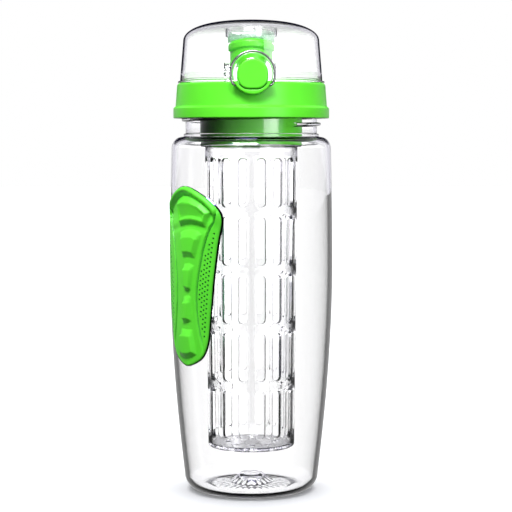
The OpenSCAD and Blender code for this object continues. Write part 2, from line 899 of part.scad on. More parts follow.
// Outline of one slot, standing on its lower end
module slot_outline() {
    for (end = [slot_w / 2, slot_len - slot_w / 2])
        translate([0, end])
            circle(r = slot_w / 2, $fn = 12);
    translate([-slot_w / 2, slot_w / 2])
        square([slot_w, slot_len - slot_w]);
}

module infuser_basket() {
    color("aliceblue", 0.35)
        difference() {
            union() {
                rotate_extrude()
                    polygon([
                        [0, basket_z], [basket_foot_r - basket_floor_t / 2, basket_z],
                        [basket_foot_r, basket_z + basket_floor_t / 2], [basket_r, basket_top - basket_flange_t],
                        [basket_flange_r, basket_top - basket_flange_t], [basket_flange_r, basket_top],
                        [basket_r, basket_top], [basket_r, basket_top + basket_neck],
                        [basket_r - basket_t, basket_top + basket_neck], [basket_r - basket_t, basket_top],
                        [basket_foot_r - basket_t, basket_z + basket_floor_t], [0, basket_z + basket_floor_t]
                    ]);
                for (i = [0 : lock_lugs - 1])
                    rotate([0, 0, 360 * i / lock_lugs])
                        lock_sector(basket_r - basket_t / 2, basket_r + lock_out, 0, lock_deg,
                            lock_z, lock_z + lock_h);
            }
            for (row = [0 : slot_rows - 1], i = [0 : slots_round / 2 - 1])
                translate([0, 0, basket_z + slot_foot_gap + row * (slot_len + slot_band)])
                    rotate([0, 0, 360 * (i + 0.5) / slots_round])
                        to_front(collar_r, 2 * collar_r)
                            slot_outline();
            for (i = [0 : drain_count - 1])
                rotate([0, 0, 360 * i / drain_count])
                    translate([drain_ring_r, 0, basket_z - cut])
                        cylinder(h = basket_floor_t + 2 * cut, r = drain_r);
        }
}

bottle();
grip_pad();
lid_gasket();
lid_shell();
basket_collar();
mouthpiece();
hinge_pin();
hinge_spring();
flip_cover();
spout_seal();
latch_bezel();
release_button();
button_spring();
lock_bail();
infuser_basket();
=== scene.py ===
import json
import math

import bmesh
import bpy
import numpy as np
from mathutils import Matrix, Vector
from mathutils.geometry import delaunay_2d_cdt

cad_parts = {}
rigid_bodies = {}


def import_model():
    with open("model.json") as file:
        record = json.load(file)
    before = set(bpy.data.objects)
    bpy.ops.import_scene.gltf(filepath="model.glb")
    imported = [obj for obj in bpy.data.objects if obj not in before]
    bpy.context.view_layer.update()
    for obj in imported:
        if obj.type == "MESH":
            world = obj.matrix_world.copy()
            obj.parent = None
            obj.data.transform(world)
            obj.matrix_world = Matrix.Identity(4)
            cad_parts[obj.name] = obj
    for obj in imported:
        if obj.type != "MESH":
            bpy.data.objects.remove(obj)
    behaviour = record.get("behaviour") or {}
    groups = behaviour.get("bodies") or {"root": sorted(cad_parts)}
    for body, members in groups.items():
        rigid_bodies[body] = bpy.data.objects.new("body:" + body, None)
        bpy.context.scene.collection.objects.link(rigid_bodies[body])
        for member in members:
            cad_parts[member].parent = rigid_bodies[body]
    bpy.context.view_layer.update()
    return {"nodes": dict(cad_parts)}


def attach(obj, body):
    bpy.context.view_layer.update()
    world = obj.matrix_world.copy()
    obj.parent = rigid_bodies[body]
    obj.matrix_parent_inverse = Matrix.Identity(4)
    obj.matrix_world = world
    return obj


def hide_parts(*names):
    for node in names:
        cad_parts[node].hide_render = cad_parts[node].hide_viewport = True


MM = 0.001
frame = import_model()
scene = bpy.context.scene
scene.view_settings.view_transform = "Standard"
scene.cycles.caustics_reflective = scene.cycles.caustics_refractive = False

# --- camera, matched to the photo: its place in m, its tilt and turn in degrees
CAMERA_SPOT, CAMERA_TILT, CAMERA_TURN = (-0.016, -0.935, 0.1986), 85.98, -1.145
LENS, SENSOR = 116, 36

cam = bpy.data.cameras.new("camera")
cam.lens, cam.sensor_width = LENS, SENSOR
camera = bpy.data.objects.new("camera", cam)
camera.location = CAMERA_SPOT
camera.rotation_euler = (math.radians(CAMERA_TILT), 0, math.radians(CAMERA_TURN))
scene.collection.objects.link(camera)
scene.camera = camera

# --- sizes, in mm and degrees, as in part.scad
BELLY_R, BELLY_Z, SIDE_BEND = 46.1, 126.0, 1.8
SHOULDER_R, SHOULDER_Z, SHOULDER_ROUND = 45.0, 194.0, 6.5
FOOT_R, HEEL, WALL = 29.0, 9.0, 2.4
NECK_R, NECK_IN_R, NECK_FOOT_R, RIM_Z = 37.1, 34.9, 38.2, 225.8
SHOULDER_TOP = SHOULDER_Z + SHOULDER_ROUND
THREAD_PITCH, THREAD_START, THREAD_FOOT_W, THREAD_CREST_W = 4.5, -59.5, 2.4, 1.2
NECK_THREAD_Z, NECK_THREAD_H, NECK_THREAD_TURNS = 206.9, 2.2, 2.5
LID_THREAD_Z, LID_THREAD_R, LID_THREAD_TURNS = 213.65, 37.6, 1
DECK_Z0, DECK_Z = 227.2, 230.2
LID_Z0, SKIRT_IN, LID_TOP_R, SKIRT_FOOT_R, BAND_R = 210.8, 39.9, 41.7, 42.85, 43.95
GASKET_IN_R, GASKET_R, GASKET_SINK = 34.6, 37.7, 0.3
SPOUT_R, SPOUT_BORE, LIP_R, SPOUT_TOP, LIP_H, LIP_ARCH = 11.9, 8.4, 13.0, 255.1, 5.0, 38.4
COVER_Z, COVER_R, COVER_TOP_R, COVER_SIDE_TOP, CROWN_H, COVER_T = 230.5, 40.1, 38.3, 253.8, 11.9, 1.6
RIM_R = 41.3
CUP_R, SEAL_R, CUP_Z, CUP_TOP, SEAL_Z, SEAL_TOP = 14.5, 13.3, 256.6, 263.4, 255.4, 260.6
LATCH_Z, BEZEL_R, BEZEL_FACE, BEZEL_BACK, BEZEL_GAP = 234.2, 11.1, 47.0, 38.5, 0.4
BEZEL_TIP_IN, BEZEL_TIP_OUT = 25.3, 21.1
BUTTON_W, BUTTON_CORNER, BUTTON_FACE, BUTTON_BACK = 8.05, 6.0, 47.5, 44.6
HOOK_X0, HOOK_X1, HOOK_Z, HOOK_Y = 3.6, 5.4, 228.5, 37.9
BUTTON_COIL_R, BUTTON_WIRE_R, BUTTON_COIL_TURNS, BUTTON_COIL_Z = 1.3, 0.2, 3, 228.5
ARCH_R, ARCH_FACE, ARCH_BACK = 11.25, 44.6, 37.0
BAR_X, BAR_Y0, BAR_Y1, BAR_H = 8.95, 39.5, 41.6, 1.4
BAIL_Y, BAIL_Z, BAIL_R, BAIL_WIRE = 45.6, 227.9, 12.0, 0.6
HINGE_Y, HINGE_Z, KNUCKLE_R, PIN_BORE_R = 43.4, 237.0, 4.1, 1.3
LUG_W, WINDOW_W, WINDOW_TOP, COIL_W = 11.5, 11.9, 242.4, 4.7
EAR_TOP, EAR_W, EAR_IN_Y = 243.7, 4.1, 34.3
HINGE_COIL_R, HINGE_WIRE_R, HINGE_COIL_TURNS = 2.3, 0.4, 5.5
COLLAR_R, COLLAR_IN, COLLAR_Z = 28.8, 26.8, 197.3
BASKET_R, BASKET_FOOT_R, BASKET_Z, BASKET_TOP, BASKET_T = 26.2, 24.5, 24.8, 197.0, 1.8
TUBE_TOP, FLANGE_R, FLANGE_Z0, FLANGE_Z1, FLOOR_T = 211.5, 28.5, 195.7, 197.0, 2
SLOTS, ROWS, SLOT_W, SLOT_LEN, SLOT_BAND, SLOT_Z = 16, 5, 5.2, 26.6, 5.75, 32.3
SLOT_CORNER, SLOT_EDGE = 2.3, 0.5
DISC_R, DRAINS, DRAIN_RING_R, DRAIN_R = 21.0, 8, 13, 2.0
GRIP_TURN, GRIP_Z, GRIP_LEN, GRIP_W, GRIP_SEAT = -54.5, 73.4, 100.2, 25.1, 1.4
GRIP_SHARES = [
    (0, 0), (0.1, 0.004), (0.3, 0.023), (0.485, 0.05), (0.605, 0.096), (0.685, 0.158),
    (0.733, 0.26), (0.781, 0.36), (0.808, 0.436), (0.874, 0.585), (0.923, 0.694), (0.983, 0.776),
    (1, 0.817), (0.967, 0.856), (0.869, 0.891), (0.684, 0.934), (0.39, 0.973), (0.18, 0.993), (0, 1),
]


def eased(k):
    """A smooth step of a share from 0 to 1."""
    return k * k * (3 - 2 * k)


def side_r(z):
    """Radius of the vessel's side at a height."""
    z = np.asarray(z, float)
    below = np.clip(BELLY_Z - z, 0, None) / (BELLY_Z - HEEL)
    above = np.clip(z - BELLY_Z, 0, None) / (SHOULDER_Z - BELLY_Z)
    low = BELLY_R - (BELLY_R - FOOT_R - HEEL) * below ** SIDE_BEND
    high = BELLY_R - (BELLY_R - SHOULDER_R) * above ** SIDE_BEND
    return np.where(z < BELLY_Z, low, high)


# --- materials
class Nodes:
    """Short calls for the nodes of one tree."""

    def __init__(self, tree):
        self.tree = tree

    def new(self, kind, **settings):
        n = self.tree.nodes.new("ShaderNode" + kind)
        for key, value in settings.items():
            setattr(n, key, value)
        return n

    def put(self, socket, v):
        if isinstance(v, (int, float)):
            socket.default_value = (v, v, v, 1) if socket.type == "RGBA" else v
        elif isinstance(v, tuple):
            socket.default_value = (*v, 1) if socket.type == "RGBA" else v
        else:
            self.tree.links.new(v, socket)

    def calc(self, op, a, b=0.0, c=0.0):
        n = self.new("Math", operation=op)
        for socket, v in zip(n.inputs, (a, b, c)):
            self.put(socket, v)
        return n.outputs[0]

    def over(self, v, limit=0.5):
        return self.calc("GREATER_THAN", v, limit)

    def mix(self, fac, a, b, blend="MIX"):
        n = self.new("Mix", data_type="RGBA", blend_type=blend)
        for i, v in ((0, fac), (6, a), (7, b)):
            self.put(n.inputs[i], v)
        return n.outputs[2]

    def ramp(self, fac, *stops):
        r = self.new("ValToRGB")
        while len(r.color_ramp.elements) < len(stops):
            r.color_ramp.elements.new(0.5)
        for e, (at, c) in zip(r.color_ramp.elements, stops):
            e.position = at
            e.color = (*c, 1) if isinstance(c, tuple) else (c, c, c, 1)
        self.put(r.inputs["Fac"], fac)
        return r.outputs["Color"]

    def fed(self, kind, **inputs):
        n = self.new(kind)
        for name, v in inputs.items():
            self.put(n.inputs[name], v)
        return n

    def noise(self, scale, detail):
        where = self.new("TexCoord").outputs["Object"]
        return self.fed("TexNoise", Scale=scale, Detail=detail, Vector=where).outputs["Fac"]

    def bump(self, height, strength, distance):
        return self.fed("Bump", Strength=strength, Distance=distance, Height=height).outputs["Normal"]


MATERIALS = {}


def new_material(name):
    """Makes a material. Returns the calls for its nodes, and the one that sets its shader's sockets."""
    m = MATERIALS[name] = bpy.data.materials.new(name)
    m.use_nodes = True
    k, shader = Nodes(m.node_tree), m.node_tree.nodes["Principled BSDF"]
    return k, lambda socket, v: k.put(shader.inputs[socket], v)


def moulded(name, light, dark, painted_shade_colour, rough, grain, reach):
    """Pigmented plastic or silicone: slow colour drift, painted shade in its hollows, creases and gaps,
    rubbed gloss, fine moulded grain.
    """
    k, put = new_material(name)
    # painted shade: where ambient occlusion finds a hollow, crease or gap between parts, the colour is
    # blended towards a dark shade colour
    hollow = k.new("AmbientOcclusion", samples=5)
    k.put(hollow.inputs["Distance"], reach)
    unshaded_share = k.ramp(hollow.outputs["AO"], (0.25, 0.0), (0.74, 1.0))
    colour = k.ramp(k.noise(28, 3), (0.3, dark), (0.7, light))
    put("Base Color", k.mix(unshaded_share, painted_shade_colour, colour))
    put("Roughness", k.ramp(k.noise(120, 4), (0.25, rough - 0.06), (0.8, rough + 0.07)))
    put("Normal", k.bump(k.noise(4200, 2), grain, 0.00004))
    put("IOR", 1.49)
    put("Specular IOR Level", 0.5)
    put("Subsurface Weight", 0.05)
    put("Subsurface Scale", 1.0)
    put("Subsurface Radius", (0.0006, 0.0012, 0.0003))


def clear(name, ior, ripple, edge, density):
    """Clear copolyester with slow moulding ripples and a cool tint in its depth.
    edge says where painted shade starts to darken its far skin towards grazing rays, where it stops, and how
    far: a painted dark outline."""
    k, put = new_material(name)
    deep = k.over(k.new("LightPath").outputs["Transmission Depth"])
    start, stop, dark = edge
    # painted shade: the far skin's colour darkens towards grazing rays, a painted dark outline
    painted_edge_shade = k.ramp(k.new("LayerWeight").outputs["Facing"], (start, 1.0), (stop, dark))
    put("Base Color", k.mix(deep, 1.0, painted_edge_shade))
    put("Transmission Weight", 1.0)
    put("IOR", ior)
    put("Roughness", k.ramp(k.noise(60, 3), (0.35, 0.0), (0.9, 0.02)))
    put("Normal", k.bump(k.noise(45, 1), ripple, 0.0004))
    depth = k.fed("VolumeAbsorption", Color=(0.52, 0.50, 0.68), Density=density)
    k.put(k.tree.nodes["Material Output"].inputs["Volume"], depth.outputs[0])


def soft_clear(name, low, high, turn_z):
    """Translucent silicone, cloudy inside with a dull skin. Its colour changes at the height turn_z, in m."""
    k, put = new_material(name)
    xyz = k.new("SeparateXYZ")
    k.put(xyz.inputs[0], k.new("TexCoord").outputs["Object"])
    above = k.calc("MULTIPLY_ADD", k.calc("SUBTRACT", xyz.outputs[2], turn_z), 400.0, 0.5)
    colour = k.mix(k.ramp(above, (0.2, 0.0), (0.8, 1.0)), low, high)
    cloud = k.ramp(k.noise(300, 3), (0.3, 0.9), (0.7, 1.0))
    put("Base Color", k.mix(1.0, colour, cloud, "MULTIPLY"))
    put("Transmission Weight", 0.5)
    put("Roughness", k.ramp(k.noise(200, 2), (0.3, 0.22), (0.8, 0.38)))
    put("IOR", 1.41)
    put("Normal", k.bump(k.noise(2500, 2), 0.2, 0.00004))


def steel(name):
    """Polished stainless wire with fine drawing marks, with painted shade darkening it towards its outline.
    """
    k, put = new_material(name)
    drawn = k.noise(900, 5)
    metal = k.ramp(drawn, (0.3, (0.44, 0.43, 0.47)), (0.7, (0.58, 0.57, 0.60)))
    # painted shade: the colour darkens towards the outline
    edge = k.ramp(k.new("LayerWeight").outputs["Facing"], (0.35, 1.0), (0.8, 0.35))
    put("Metallic", 1.0)
    put("Base Color", k.mix(1.0, metal, edge, "MULTIPLY"))
    put("Roughness", k.ramp(drawn, (0.2, 0.14), (0.8, 0.28)))
    put("Normal", k.bump(k.noise(5000, 2), 0.15, 0.00002))


# one for each slot of the record
# the darkest colour of each is painted shade for its hollows and gaps
moulded("green_plastic", light=(0.135, 0.850, 0.030), dark=(0.110, 0.780, 0.024),
        painted_shade_colour=(0.012, 0.20, 0.045), rough=0.34, grain=0.25, reach=0.0014)
moulded("green_silicone", light=(0.125, 0.820, 0.032), dark=(0.095, 0.730, 0.024),
        painted_shade_colour=(0.008, 0.12, 0.05), rough=0.5, grain=0.45, reach=0.0032)
# edge sets each one's painted dark outline
clear("clear_vessel", ior=1.56, ripple=0.05, edge=(0.85, 0.97, 0.8), density=4)
clear("clear_cover", ior=1.56, ripple=0.04, edge=(0.80, 0.95, 0.8), density=9)
clear("clear_basket", ior=1.54, ripple=0.05, edge=(0.50, 0.76, 0.20), density=6)
soft_clear("clear_silicone", low=(0.40, 0.66, 0.47), high=(0.78, 0.90, 0.82), turn_z=0.2588)
steel("steel")


# --- meshes, built in mm
def join(*parts):
    """Shapes, each its vertices and its faces, as one."""
    verts, faces = [], []
    for v, f in parts:
        k = len(verts)
        verts += [tuple(p) for p in v]
        faces += [tuple(i + k for i in q) for q in f]
    return verts, faces


def raw(shape, weld=1e-4):
    """An object in mm with its normals outwards. It is worked on before it is placed."""
    me = bpy.data.meshes.new("raw")
    me.from_pydata([tuple(map(float, p)) for p in shape[0]], [], [tuple(map(int, f)) for f in shape[1]])
    bm = bmesh.new()
    bm.from_mesh(me)
    if weld:
        bmesh.ops.remove_doubles(bm, verts=bm.verts, dist=weld)
    bmesh.ops.recalc_face_normals(bm, faces=bm.faces)
    bm.to_mesh(me)
    bm.free()
    ob = bpy.data.objects.new("raw", me)
    scene.collection.objects.link(ob)
    return ob


def applied(ob):
    """Works the object's modifiers into its mesh."""
    dg = bpy.context.evaluated_depsgraph_get()
    me = bpy.data.meshes.new_from_object(ob.evaluated_get(dg))
    ob.modifiers.clear()
    old, ob.data = ob.data, me
    bpy.data.meshes.remove(old)
    return ob


def boolean(ob, tool, operation):
    if not isinstance(tool, bpy.types.Object):
        tool = raw(tool)
    mod = ob.modifiers.new("b", "BOOLEAN")
    mod.object, mod.operation, mod.solver = tool, operation, "EXACT"
    applied(ob)
    bpy.data.objects.remove(tool)


def bevelled(ob, width, segments=3, angle=50):
    mod = ob.modifiers.new("e", "BEVEL")
    mod.width, mod.segments, mod.limit_method = width, segments, "ANGLE"
    mod.angle_limit = math.radians(angle)
    mod.use_clamp_overlap = True
    return applied(ob)


def merge(obs):
    """Several raw objects as one, without joining their surfaces."""
    parts = []
    for o in obs:
        parts.append(([tuple(v.co) for v in o.data.vertices], [tuple(p.vertices) for p in o.data.polygons]))
        old = o.data
        bpy.data.objects.remove(o)
        bpy.data.meshes.remove(old)
    return raw(join(*parts), weld=0)


def place(ob, name, body, slot, replaces, sharp):
    """Scales a raw object to metres, shades it and puts it on its body."""
    me = ob.data
    co = np.empty(len(me.vertices) * 3, np.float32)
    me.vertices.foreach_get("co", co)
    me.vertices.foreach_set("co", co * MM)
    me.shade_smooth()
    me.set_sharp_from_angle(angle=math.radians(sharp))
    me.update()
    me.materials.clear()
    me.materials.append(MATERIALS[slot])
    ob.name = me.name = name
    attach(ob, body)
    if replaces:
        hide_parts(*replaces)


def lathe(section, n=256, start=0.0):
    """Closed mesh of a section of (r, z) points about Z. Its ends are on the axis, or else they join."""
    open_ends = section[0][0] < 1e-6 and section[-1][0] < 1e-6
    t = start + np.arange(n) * 2 * math.pi / n
    c, s = np.cos(t), np.sin(t)
    verts, rings, faces = [], [], []
    for r, z in section:
        if r < 1e-6:
            rings.append([len(verts)] * n)
            verts.append((0, 0, z))
        else:
            rings.append(list(range(len(verts), len(verts) + n)))
            verts += [(r * c[i], r * s[i], z) for i in range(n)]
    for a, b in zip(rings, rings[1:] if open_ends else rings[1:] + rings[:1]):
        for i in range(n):
            j = (i + 1) % n
            q = [a[i], a[j], b[j], b[i]]
            f = [v for k, v in enumerate(q) if v != q[k - 1]]
            if len(f) > 2:
                faces.append(f)
    return verts, faces


def rounded(points, k=6, closed=False):
    """A path whose corners (x, y, radius) become arcs."""
    out, n = [], len(points)
    for i, p in enumerate(points):
        if len(p) < 3 or (not closed and i in (0, n - 1)):
            out.append(tuple(p[:2]))
            continue
        a, b, c = (np.array(points[(i + d) % n][:2], float) for d in (-1, 0, 1))
        u, v = (a - b), (c - b)
        lu, lv = np.linalg.norm(u), np.linalg.norm(v)
        u, v = u / lu, v / lv
        half = math.acos(max(-1, min(1, float(u @ v)))) / 2
        reach = min(p[2] / math.tan(half), 0.49 * lu, 0.49 * lv)
        r = reach * math.tan(half)
        mid = b + (u + v) / np.linalg.norm(u + v) * r / math.sin(half)
        a0 = b + u * reach - mid
        a1 = b + v * reach - mid
        t0, t1 = math.atan2(a0[1], a0[0]), math.atan2(a1[1], a1[0])
        d = (t1 - t0 + math.pi) % (2 * math.pi) - math.pi
        out += [polar(r, t0 + d * j / k, *mid) for j in range(k + 1)]
    return out


def polar(r, a, x=0, y=0):
    return x + r * math.cos(a), y + r * math.sin(a)


def unit(turns):
    return np.stack([np.cos(turns), np.sin(turns)], 1)


def arc(cx, cy, r, a0, a1, k=12):
    """Points on a circle round (cx, cy), from a0 to a1 degrees."""
    return [polar(r, math.radians(a0 + (a1 - a0) * i / k), cx, cy) for i in range(k + 1)]


def divided(loop, step):
    """A closed loop with its sides cut into pieces of about one step."""
    out = []
    for a, b in zip(loop, loop[1:] + loop[:1]):
        n = max(1, int(math.hypot(b[0] - a[0], b[1] - a[1]) / step))
        out += [(a[0] + (b[0] - a[0]) * i / n, a[1] + (b[1] - a[1]) * i / n) for i in range(n)]
    return out


def loft(rings, caps=True):
    """Faces between rings of equal length. Caps are a fan of faces at each end."""
    n = len(rings[0])
    verts = [p for ring in rings for p in ring]
    faces = []
    for a in range(0, n * len(rings) - n, n):
        for i in range(n):
            j = (i + 1) % n
            faces.append((a + i, a + j, a + n + j, a + n + i))
    for at in (0, len(rings) - 1) if caps else ():
        k = len(verts)
        verts.append(tuple(np.mean(rings[at], 0)))
        faces += [(at * n + i, at * n + (i + 1) % n, k) for i in range(n)]
    return verts, faces


def sweep(sections):
    """A solid through open-ended sections (lists of 3D points, closed loops), with flat ends."""
    verts, faces = loft(sections, caps=False)
    n = len(sections[0])
    last = (len(sections) - 1) * n
    faces += [tuple(range(n)), tuple(range(last + n - 1, last - 1, -1))]
    return verts, faces


def tube(path, r, sides):
    """A wire of round section along a path, with domed ends."""
    path = [np.array(p, float) for p in path]
    last = len(path) - 1
    tangents = [path[min(i + 1, last)] - path[max(i - 1, 0)] for i in range(last + 1)]
    tangents = [t / np.linalg.norm(t) for t in tangents]
    ends = [(-0.98, 0.2), (-0.7, 0.7)]
    spots = [(0, ahead, wide) for ahead, wide in ends] + [(i, 0, 1) for i in range(last + 1)]
    spots += [(last, -ahead, wide) for ahead, wide in ends[::-1]]
    u = np.cross(tangents[0], (0.3, 0.5, 0.8))
    rings = []
    for i, ahead, wide in spots:
        t = tangents[i]
        u = u - t * (u @ t)
        u /= np.linalg.norm(u)
        v = np.cross(t, u)
        rings.append([tuple(path[i] + t * ahead * r * 0.6 + (u * math.cos(a) + v * math.sin(a)) * r * wide)
                      for a in (2 * math.pi * j / sides for j in range(sides))])
    return loft(rings)


def box(x0, x1, y0, y1, z0, z1):
    v = [(x, y, z) for x in (x0, x1) for y in (y0, y1) for z in (z0, z1)]
    return v, [(0, 1, 3, 2), (4, 6, 7, 5), (0, 4, 5, 1), (2, 3, 7, 6), (0, 2, 6, 4), (1, 5, 7, 3)]


def prism_x(outline, x0, x1):
    """An outline in the YZ plane, drawn out along X."""
    return sweep([[(x, p[0], p[1]) for p in outline] for x in (x0, x1)])


# --- grip outline, in the plane that it faces
def softened(points, passes):
    p = np.array(points, float)
    for _ in range(passes):
        q = np.roll(p, -1, 0)
        p = np.stack([0.75 * p + 0.25 * q, 0.25 * p + 0.75 * q], 1).reshape(-1, 2)
    return p


right = [(s * GRIP_W, GRIP_Z + t * GRIP_LEN) for s, t in GRIP_SHARES]
grip_outline = softened(right + [(-x, z) for x, z in right[-2:0:-1]], 3)


def resampled(loop, step):
    loop = np.vstack([loop, loop[:1]])
    run = np.concatenate([[0], np.cumsum(np.linalg.norm(np.diff(loop, axis=0), axis=1))])
    n = max(8, int(round(run[-1] / step)))
    t = np.arange(n) * run[-1] / n
    return np.stack([np.interp(t, run, loop[:, 0]), np.interp(t, run, loop[:, 1])], 1)


def inset(loop, d):
    """A smooth anticlockwise loop moved inwards by d."""
    t = np.roll(loop, -1, 0) - np.roll(loop, 1, 0)
    t /= np.linalg.norm(t, axis=1)[:, None]
    return loop + np.stack([-t[:, 1], t[:, 0]], 1) * d


def edge_distance(points, loop, batch=4000):
    """Distance of each point to a closed loop, positive inside."""
    a, b = loop, np.roll(loop, -1, 0)
    ab = b - a
    out = np.empty(len(points))
    for k in range(0, len(points), batch):
        p = points[k:k + batch, None]
        x, z = p[..., 0], p[..., 1]
        t = np.clip(((p - a) * ab).sum(2) / (ab ** 2).sum(1), 0, 1)
        d = np.sqrt((((a + t[..., None] * ab) - p) ** 2).sum(2)).min(1)
        spans = (a[:, 1] > z) != (b[:, 1] > z)
        with np.errstate(divide="ignore", invalid="ignore"):
            left = x < a[:, 0] + (z - a[:, 1]) / ab[:, 1] * ab[:, 0]
        out[k:k + batch] = np.where((spans & left).sum(1) % 2 == 1, d, -d)
    return out


def spot_distance(points, spots):
    """Distance of each point to the nearest spot."""
    out = np.full(len(points), np.inf)
    for s in spots:
        out = np.minimum(out, np.hypot(*(points - s).T))
    return out


def wrapped(x, z, h):
    """A point of the grip's plane on the vessel's side, h above it."""
    r = side_r(z) + h
    a = math.radians(GRIP_TURN)
    y = -np.sqrt(np.clip(r * r - x * x, 0, None))
    return np.stack([x * math.cos(a) - y * math.sin(a), x * math.sin(a) + y * math.cos(a), z], 1)


def triangulated(points, loops, keep):
    """Triangles over 2D points, with loops as edges. keep says which centroids stay."""
    verts = [tuple(p) for p in points]
    edges = []
    for loop in loops:
        k = len(verts)
        verts += [tuple(p) for p in loop]
        edges += [(k + i, k + (i + 1) % len(loop)) for i in range(len(loop))]
    v, _, f = delaunay_2d_cdt(verts, edges, [], 0, 1e-6)[:3]
    v = np.array([tuple(p) for p in v])
    f = np.array([tuple(t) for t in f if len(t) == 3])
    return v, f[keep(v[f].mean(1))]


def filled(points, loop):
    return triangulated(points, [loop], lambda c: edge_distance(c, loop) > 0)


def hexes(x0, x1, z0, z1, step):
    rows = np.arange(z0, z1, step * math.sqrt(3) / 2)
    pts = [(x, z) for j, z in enumerate(rows) for x in np.arange(x0 + (j % 2) * step / 2, x1, step)]
    return np.array(pts)


def over_grip(step):
    return hexes(-GRIP_W - 0.9, GRIP_W + 0.9, GRIP_Z, GRIP_Z + GRIP_LEN, step)


def boundary_loop(f):
    """The one outer loop of a triangulation, in order."""
    edges = dict.fromkeys((t[i], t[(i + 1) % 3]) for t in f for i in range(3))
    step = {a: b for a, b in edges if (b, a) not in edges}
    loop = [next(iter(step))]
    while step[loop[-1]] != loop[0]:
        loop.append(step[loop[-1]])
    return loop


# --- vessel
def thread(root, crest, z, turns, per_turn=96, fade=10):
    """A thread's ridge between two radii. It runs out at both ends, and its foot is sunk into the wall."""
    n = int(round(per_turn * turns))
    sink = -0.6 if root < crest else 0.6
    sections = []
    for i in range(n + 1):
        a = math.radians(THREAD_START + 360 * turns * i / n)
        zi = z + THREAD_PITCH * turns * i / n
        tall = eased(min(1, (i + 1) / fade, (n - i + 1) / fade))
        top = root + (crest - root) * max(tall, 0.04)
        flank = [(root + sink, -THREAD_FOOT_W / 2), (root + (top - root) * 0.15, -THREAD_FOOT_W * 0.46),
                 (root + (top - root) * 0.85, -THREAD_CREST_W * 0.62), (top, -THREAD_CREST_W * 0.3)]
        shape = flank + [(r, -dz) for r, dz in flank[::-1]]
        sections.append([(*polar(r, a), zi + dz) for r, dz in shape])
    return sweep(sections)


def vessel_section():
    """From the dimple under the floor up the outside, over the rim and down the inside."""
    zs = np.linspace(HEEL + 1, SHOULDER_Z - 1, 46)
    bend_r = SHOULDER_R - SHOULDER_ROUND
    line = [(0, 6.2), (3.2, 6.15), (5.8, 5.9), (7.2, 5.2), (8.6, 4.1), (9.8, 3.2), (10.9, 2.75)]
    line += [(r, 2.7 - 0.085 * (r - 11)) for r in np.linspace(11.8, 22.6, 16)]
    line += [(23.3, 1.25), (23.85, 0.75), (24.3, 0.2), (24.9, 0)]
    line += arc(FOOT_R, HEEL, HEEL, -90, 0, 14)
    line += [(float(side_r(z)), z) for z in zs]
    line += arc(bend_r, SHOULDER_Z, SHOULDER_ROUND, 0, 88, 14)
    line += rounded([(38.6, SHOULDER_TOP), (NECK_FOOT_R, SHOULDER_TOP + 0.1, 0.3),
                     (NECK_FOOT_R, SHOULDER_TOP + 1.6, 0.5), (NECK_R, SHOULDER_TOP + 1.75, 0.3),
                     (NECK_R, RIM_Z, 0.7), (NECK_IN_R, RIM_Z, 0.7), (NECK_IN_R, SHOULDER_TOP - 1.2, 1.2),
                     (bend_r, SHOULDER_TOP - WALL)], 5)[1:-1]
    line += arc(bend_r, SHOULDER_Z, SHOULDER_ROUND - WALL, 90, 0, 12)
    line += [(float(side_r(z)) - WALL, z) for z in zs[::-1]]
    line += arc(FOOT_R, HEEL, HEEL - WALL, 0, -90, 12)
    return line + rounded([(25, 2.45), (12.2, 4.4, 4), (9.0, 6.6, 3), (6.4, 8.9, 2.4), (0, 8.9)], 6)[1:]


# rows of flutes: radius, reach, height, half the count, turn, how bluntly a flute ends
FLUTES = [(9.6, 3.2, 0.55, 9, 0.0, 1), (14.6, 3.0, 0.85, 12, 0.2, 0.5), (19.9, 3.0, 0.85, 18, 0.0, 0.5)]
FLUTES_R = 23


def underside(shape):
    """Cut-glass flutes round the dimple under the floor."""
    verts = []
    for x, y, z in shape[0]:
        r = math.hypot(x, y)
        # only the skin underneath, not the floor above it
        if r < FLUTES_R and z < (5.9 if r < 7 else 4.6 if r < 9 else 3.4):
            a = math.atan2(y, x)
            for row_r, reach, tall, count, turn, blunt in FLUTES:
                row = max(0, 1 - abs(r - row_r) / reach)
                z += tall * row ** blunt * abs(math.cos(count * a + turn))
        verts.append((x, y, z))
    return verts, shape[1]


def make_vessel():
    ob = raw(underside(lathe(vessel_section(), 288)))
    boolean(ob, thread(NECK_R, NECK_R + NECK_THREAD_H, NECK_THREAD_Z, NECK_THREAD_TURNS), "UNION")
    loop = resampled(grip_outline, 1.6)
    pts = over_grip(3.0)
    v, f = filled(pts[edge_distance(pts, loop) > 1.2], loop)
    n = len(v)
    back, front = (wrapped(*v.T, h) for h in (-GRIP_SEAT, 4.0))
    rim = boundary_loop(f)
    faces = [tuple(t) for t in f] + [tuple(t + n)[::-1] for t in f]
    faces += [(a, b, b + n, a + n) for a, b in zip(rim, rim[1:] + rim[:1])]
    boolean(ob, (np.vstack([back, front]), faces), "DIFFERENCE")
    place(ob, "vessel_shell", "vessel", "clear_vessel", ["bottle"], 30)


# --- grip: heights above the vessel's side, and where its parts start, in mm
PANEL_H, STRIP_DIP, BLOCK_H, EDGE_ROUND = 0.42, 0.14, 2.1, 0.9
HOOD_Z, HOOD_LEN, SLOPE_Z, DENT_Z = 150.0, 9.0, 163.5, 151.4
GROOVE_DEPTH, GROOVE_REACH = 1.6, 0.85
DIMPLE_R, DIMPLE_DEPTH, DIMPLE_STEP = 0.5, 1.2, 2.57


def curve(table):
    table = sorted(table)
    zs, xs = [t[0] for t in table], [t[1] for t in table]
    return lambda z: np.interp(z, zs, xs)


groove_r = curve([(160, 22.6), (156.5, 21.8), (152.7, 20.0), (149.5, 18.3), (144.2, 16.3), (137.2, 14.3),
                  (130, 12.8), (125, 11.7), (117, 10.4), (111, 10.1), (104.9, 10.2), (96.9, 11.0),
                  (84.9, 13.3), (79, 13.2)])
groove_l = curve([(160, -19.5), (153, -16.4), (148, -13.6), (143, -11.2), (132, -8.6), (120, -7.3),
                  (109, -7.7), (97, -10.1), (87, -12.9), (79, -13.4)])
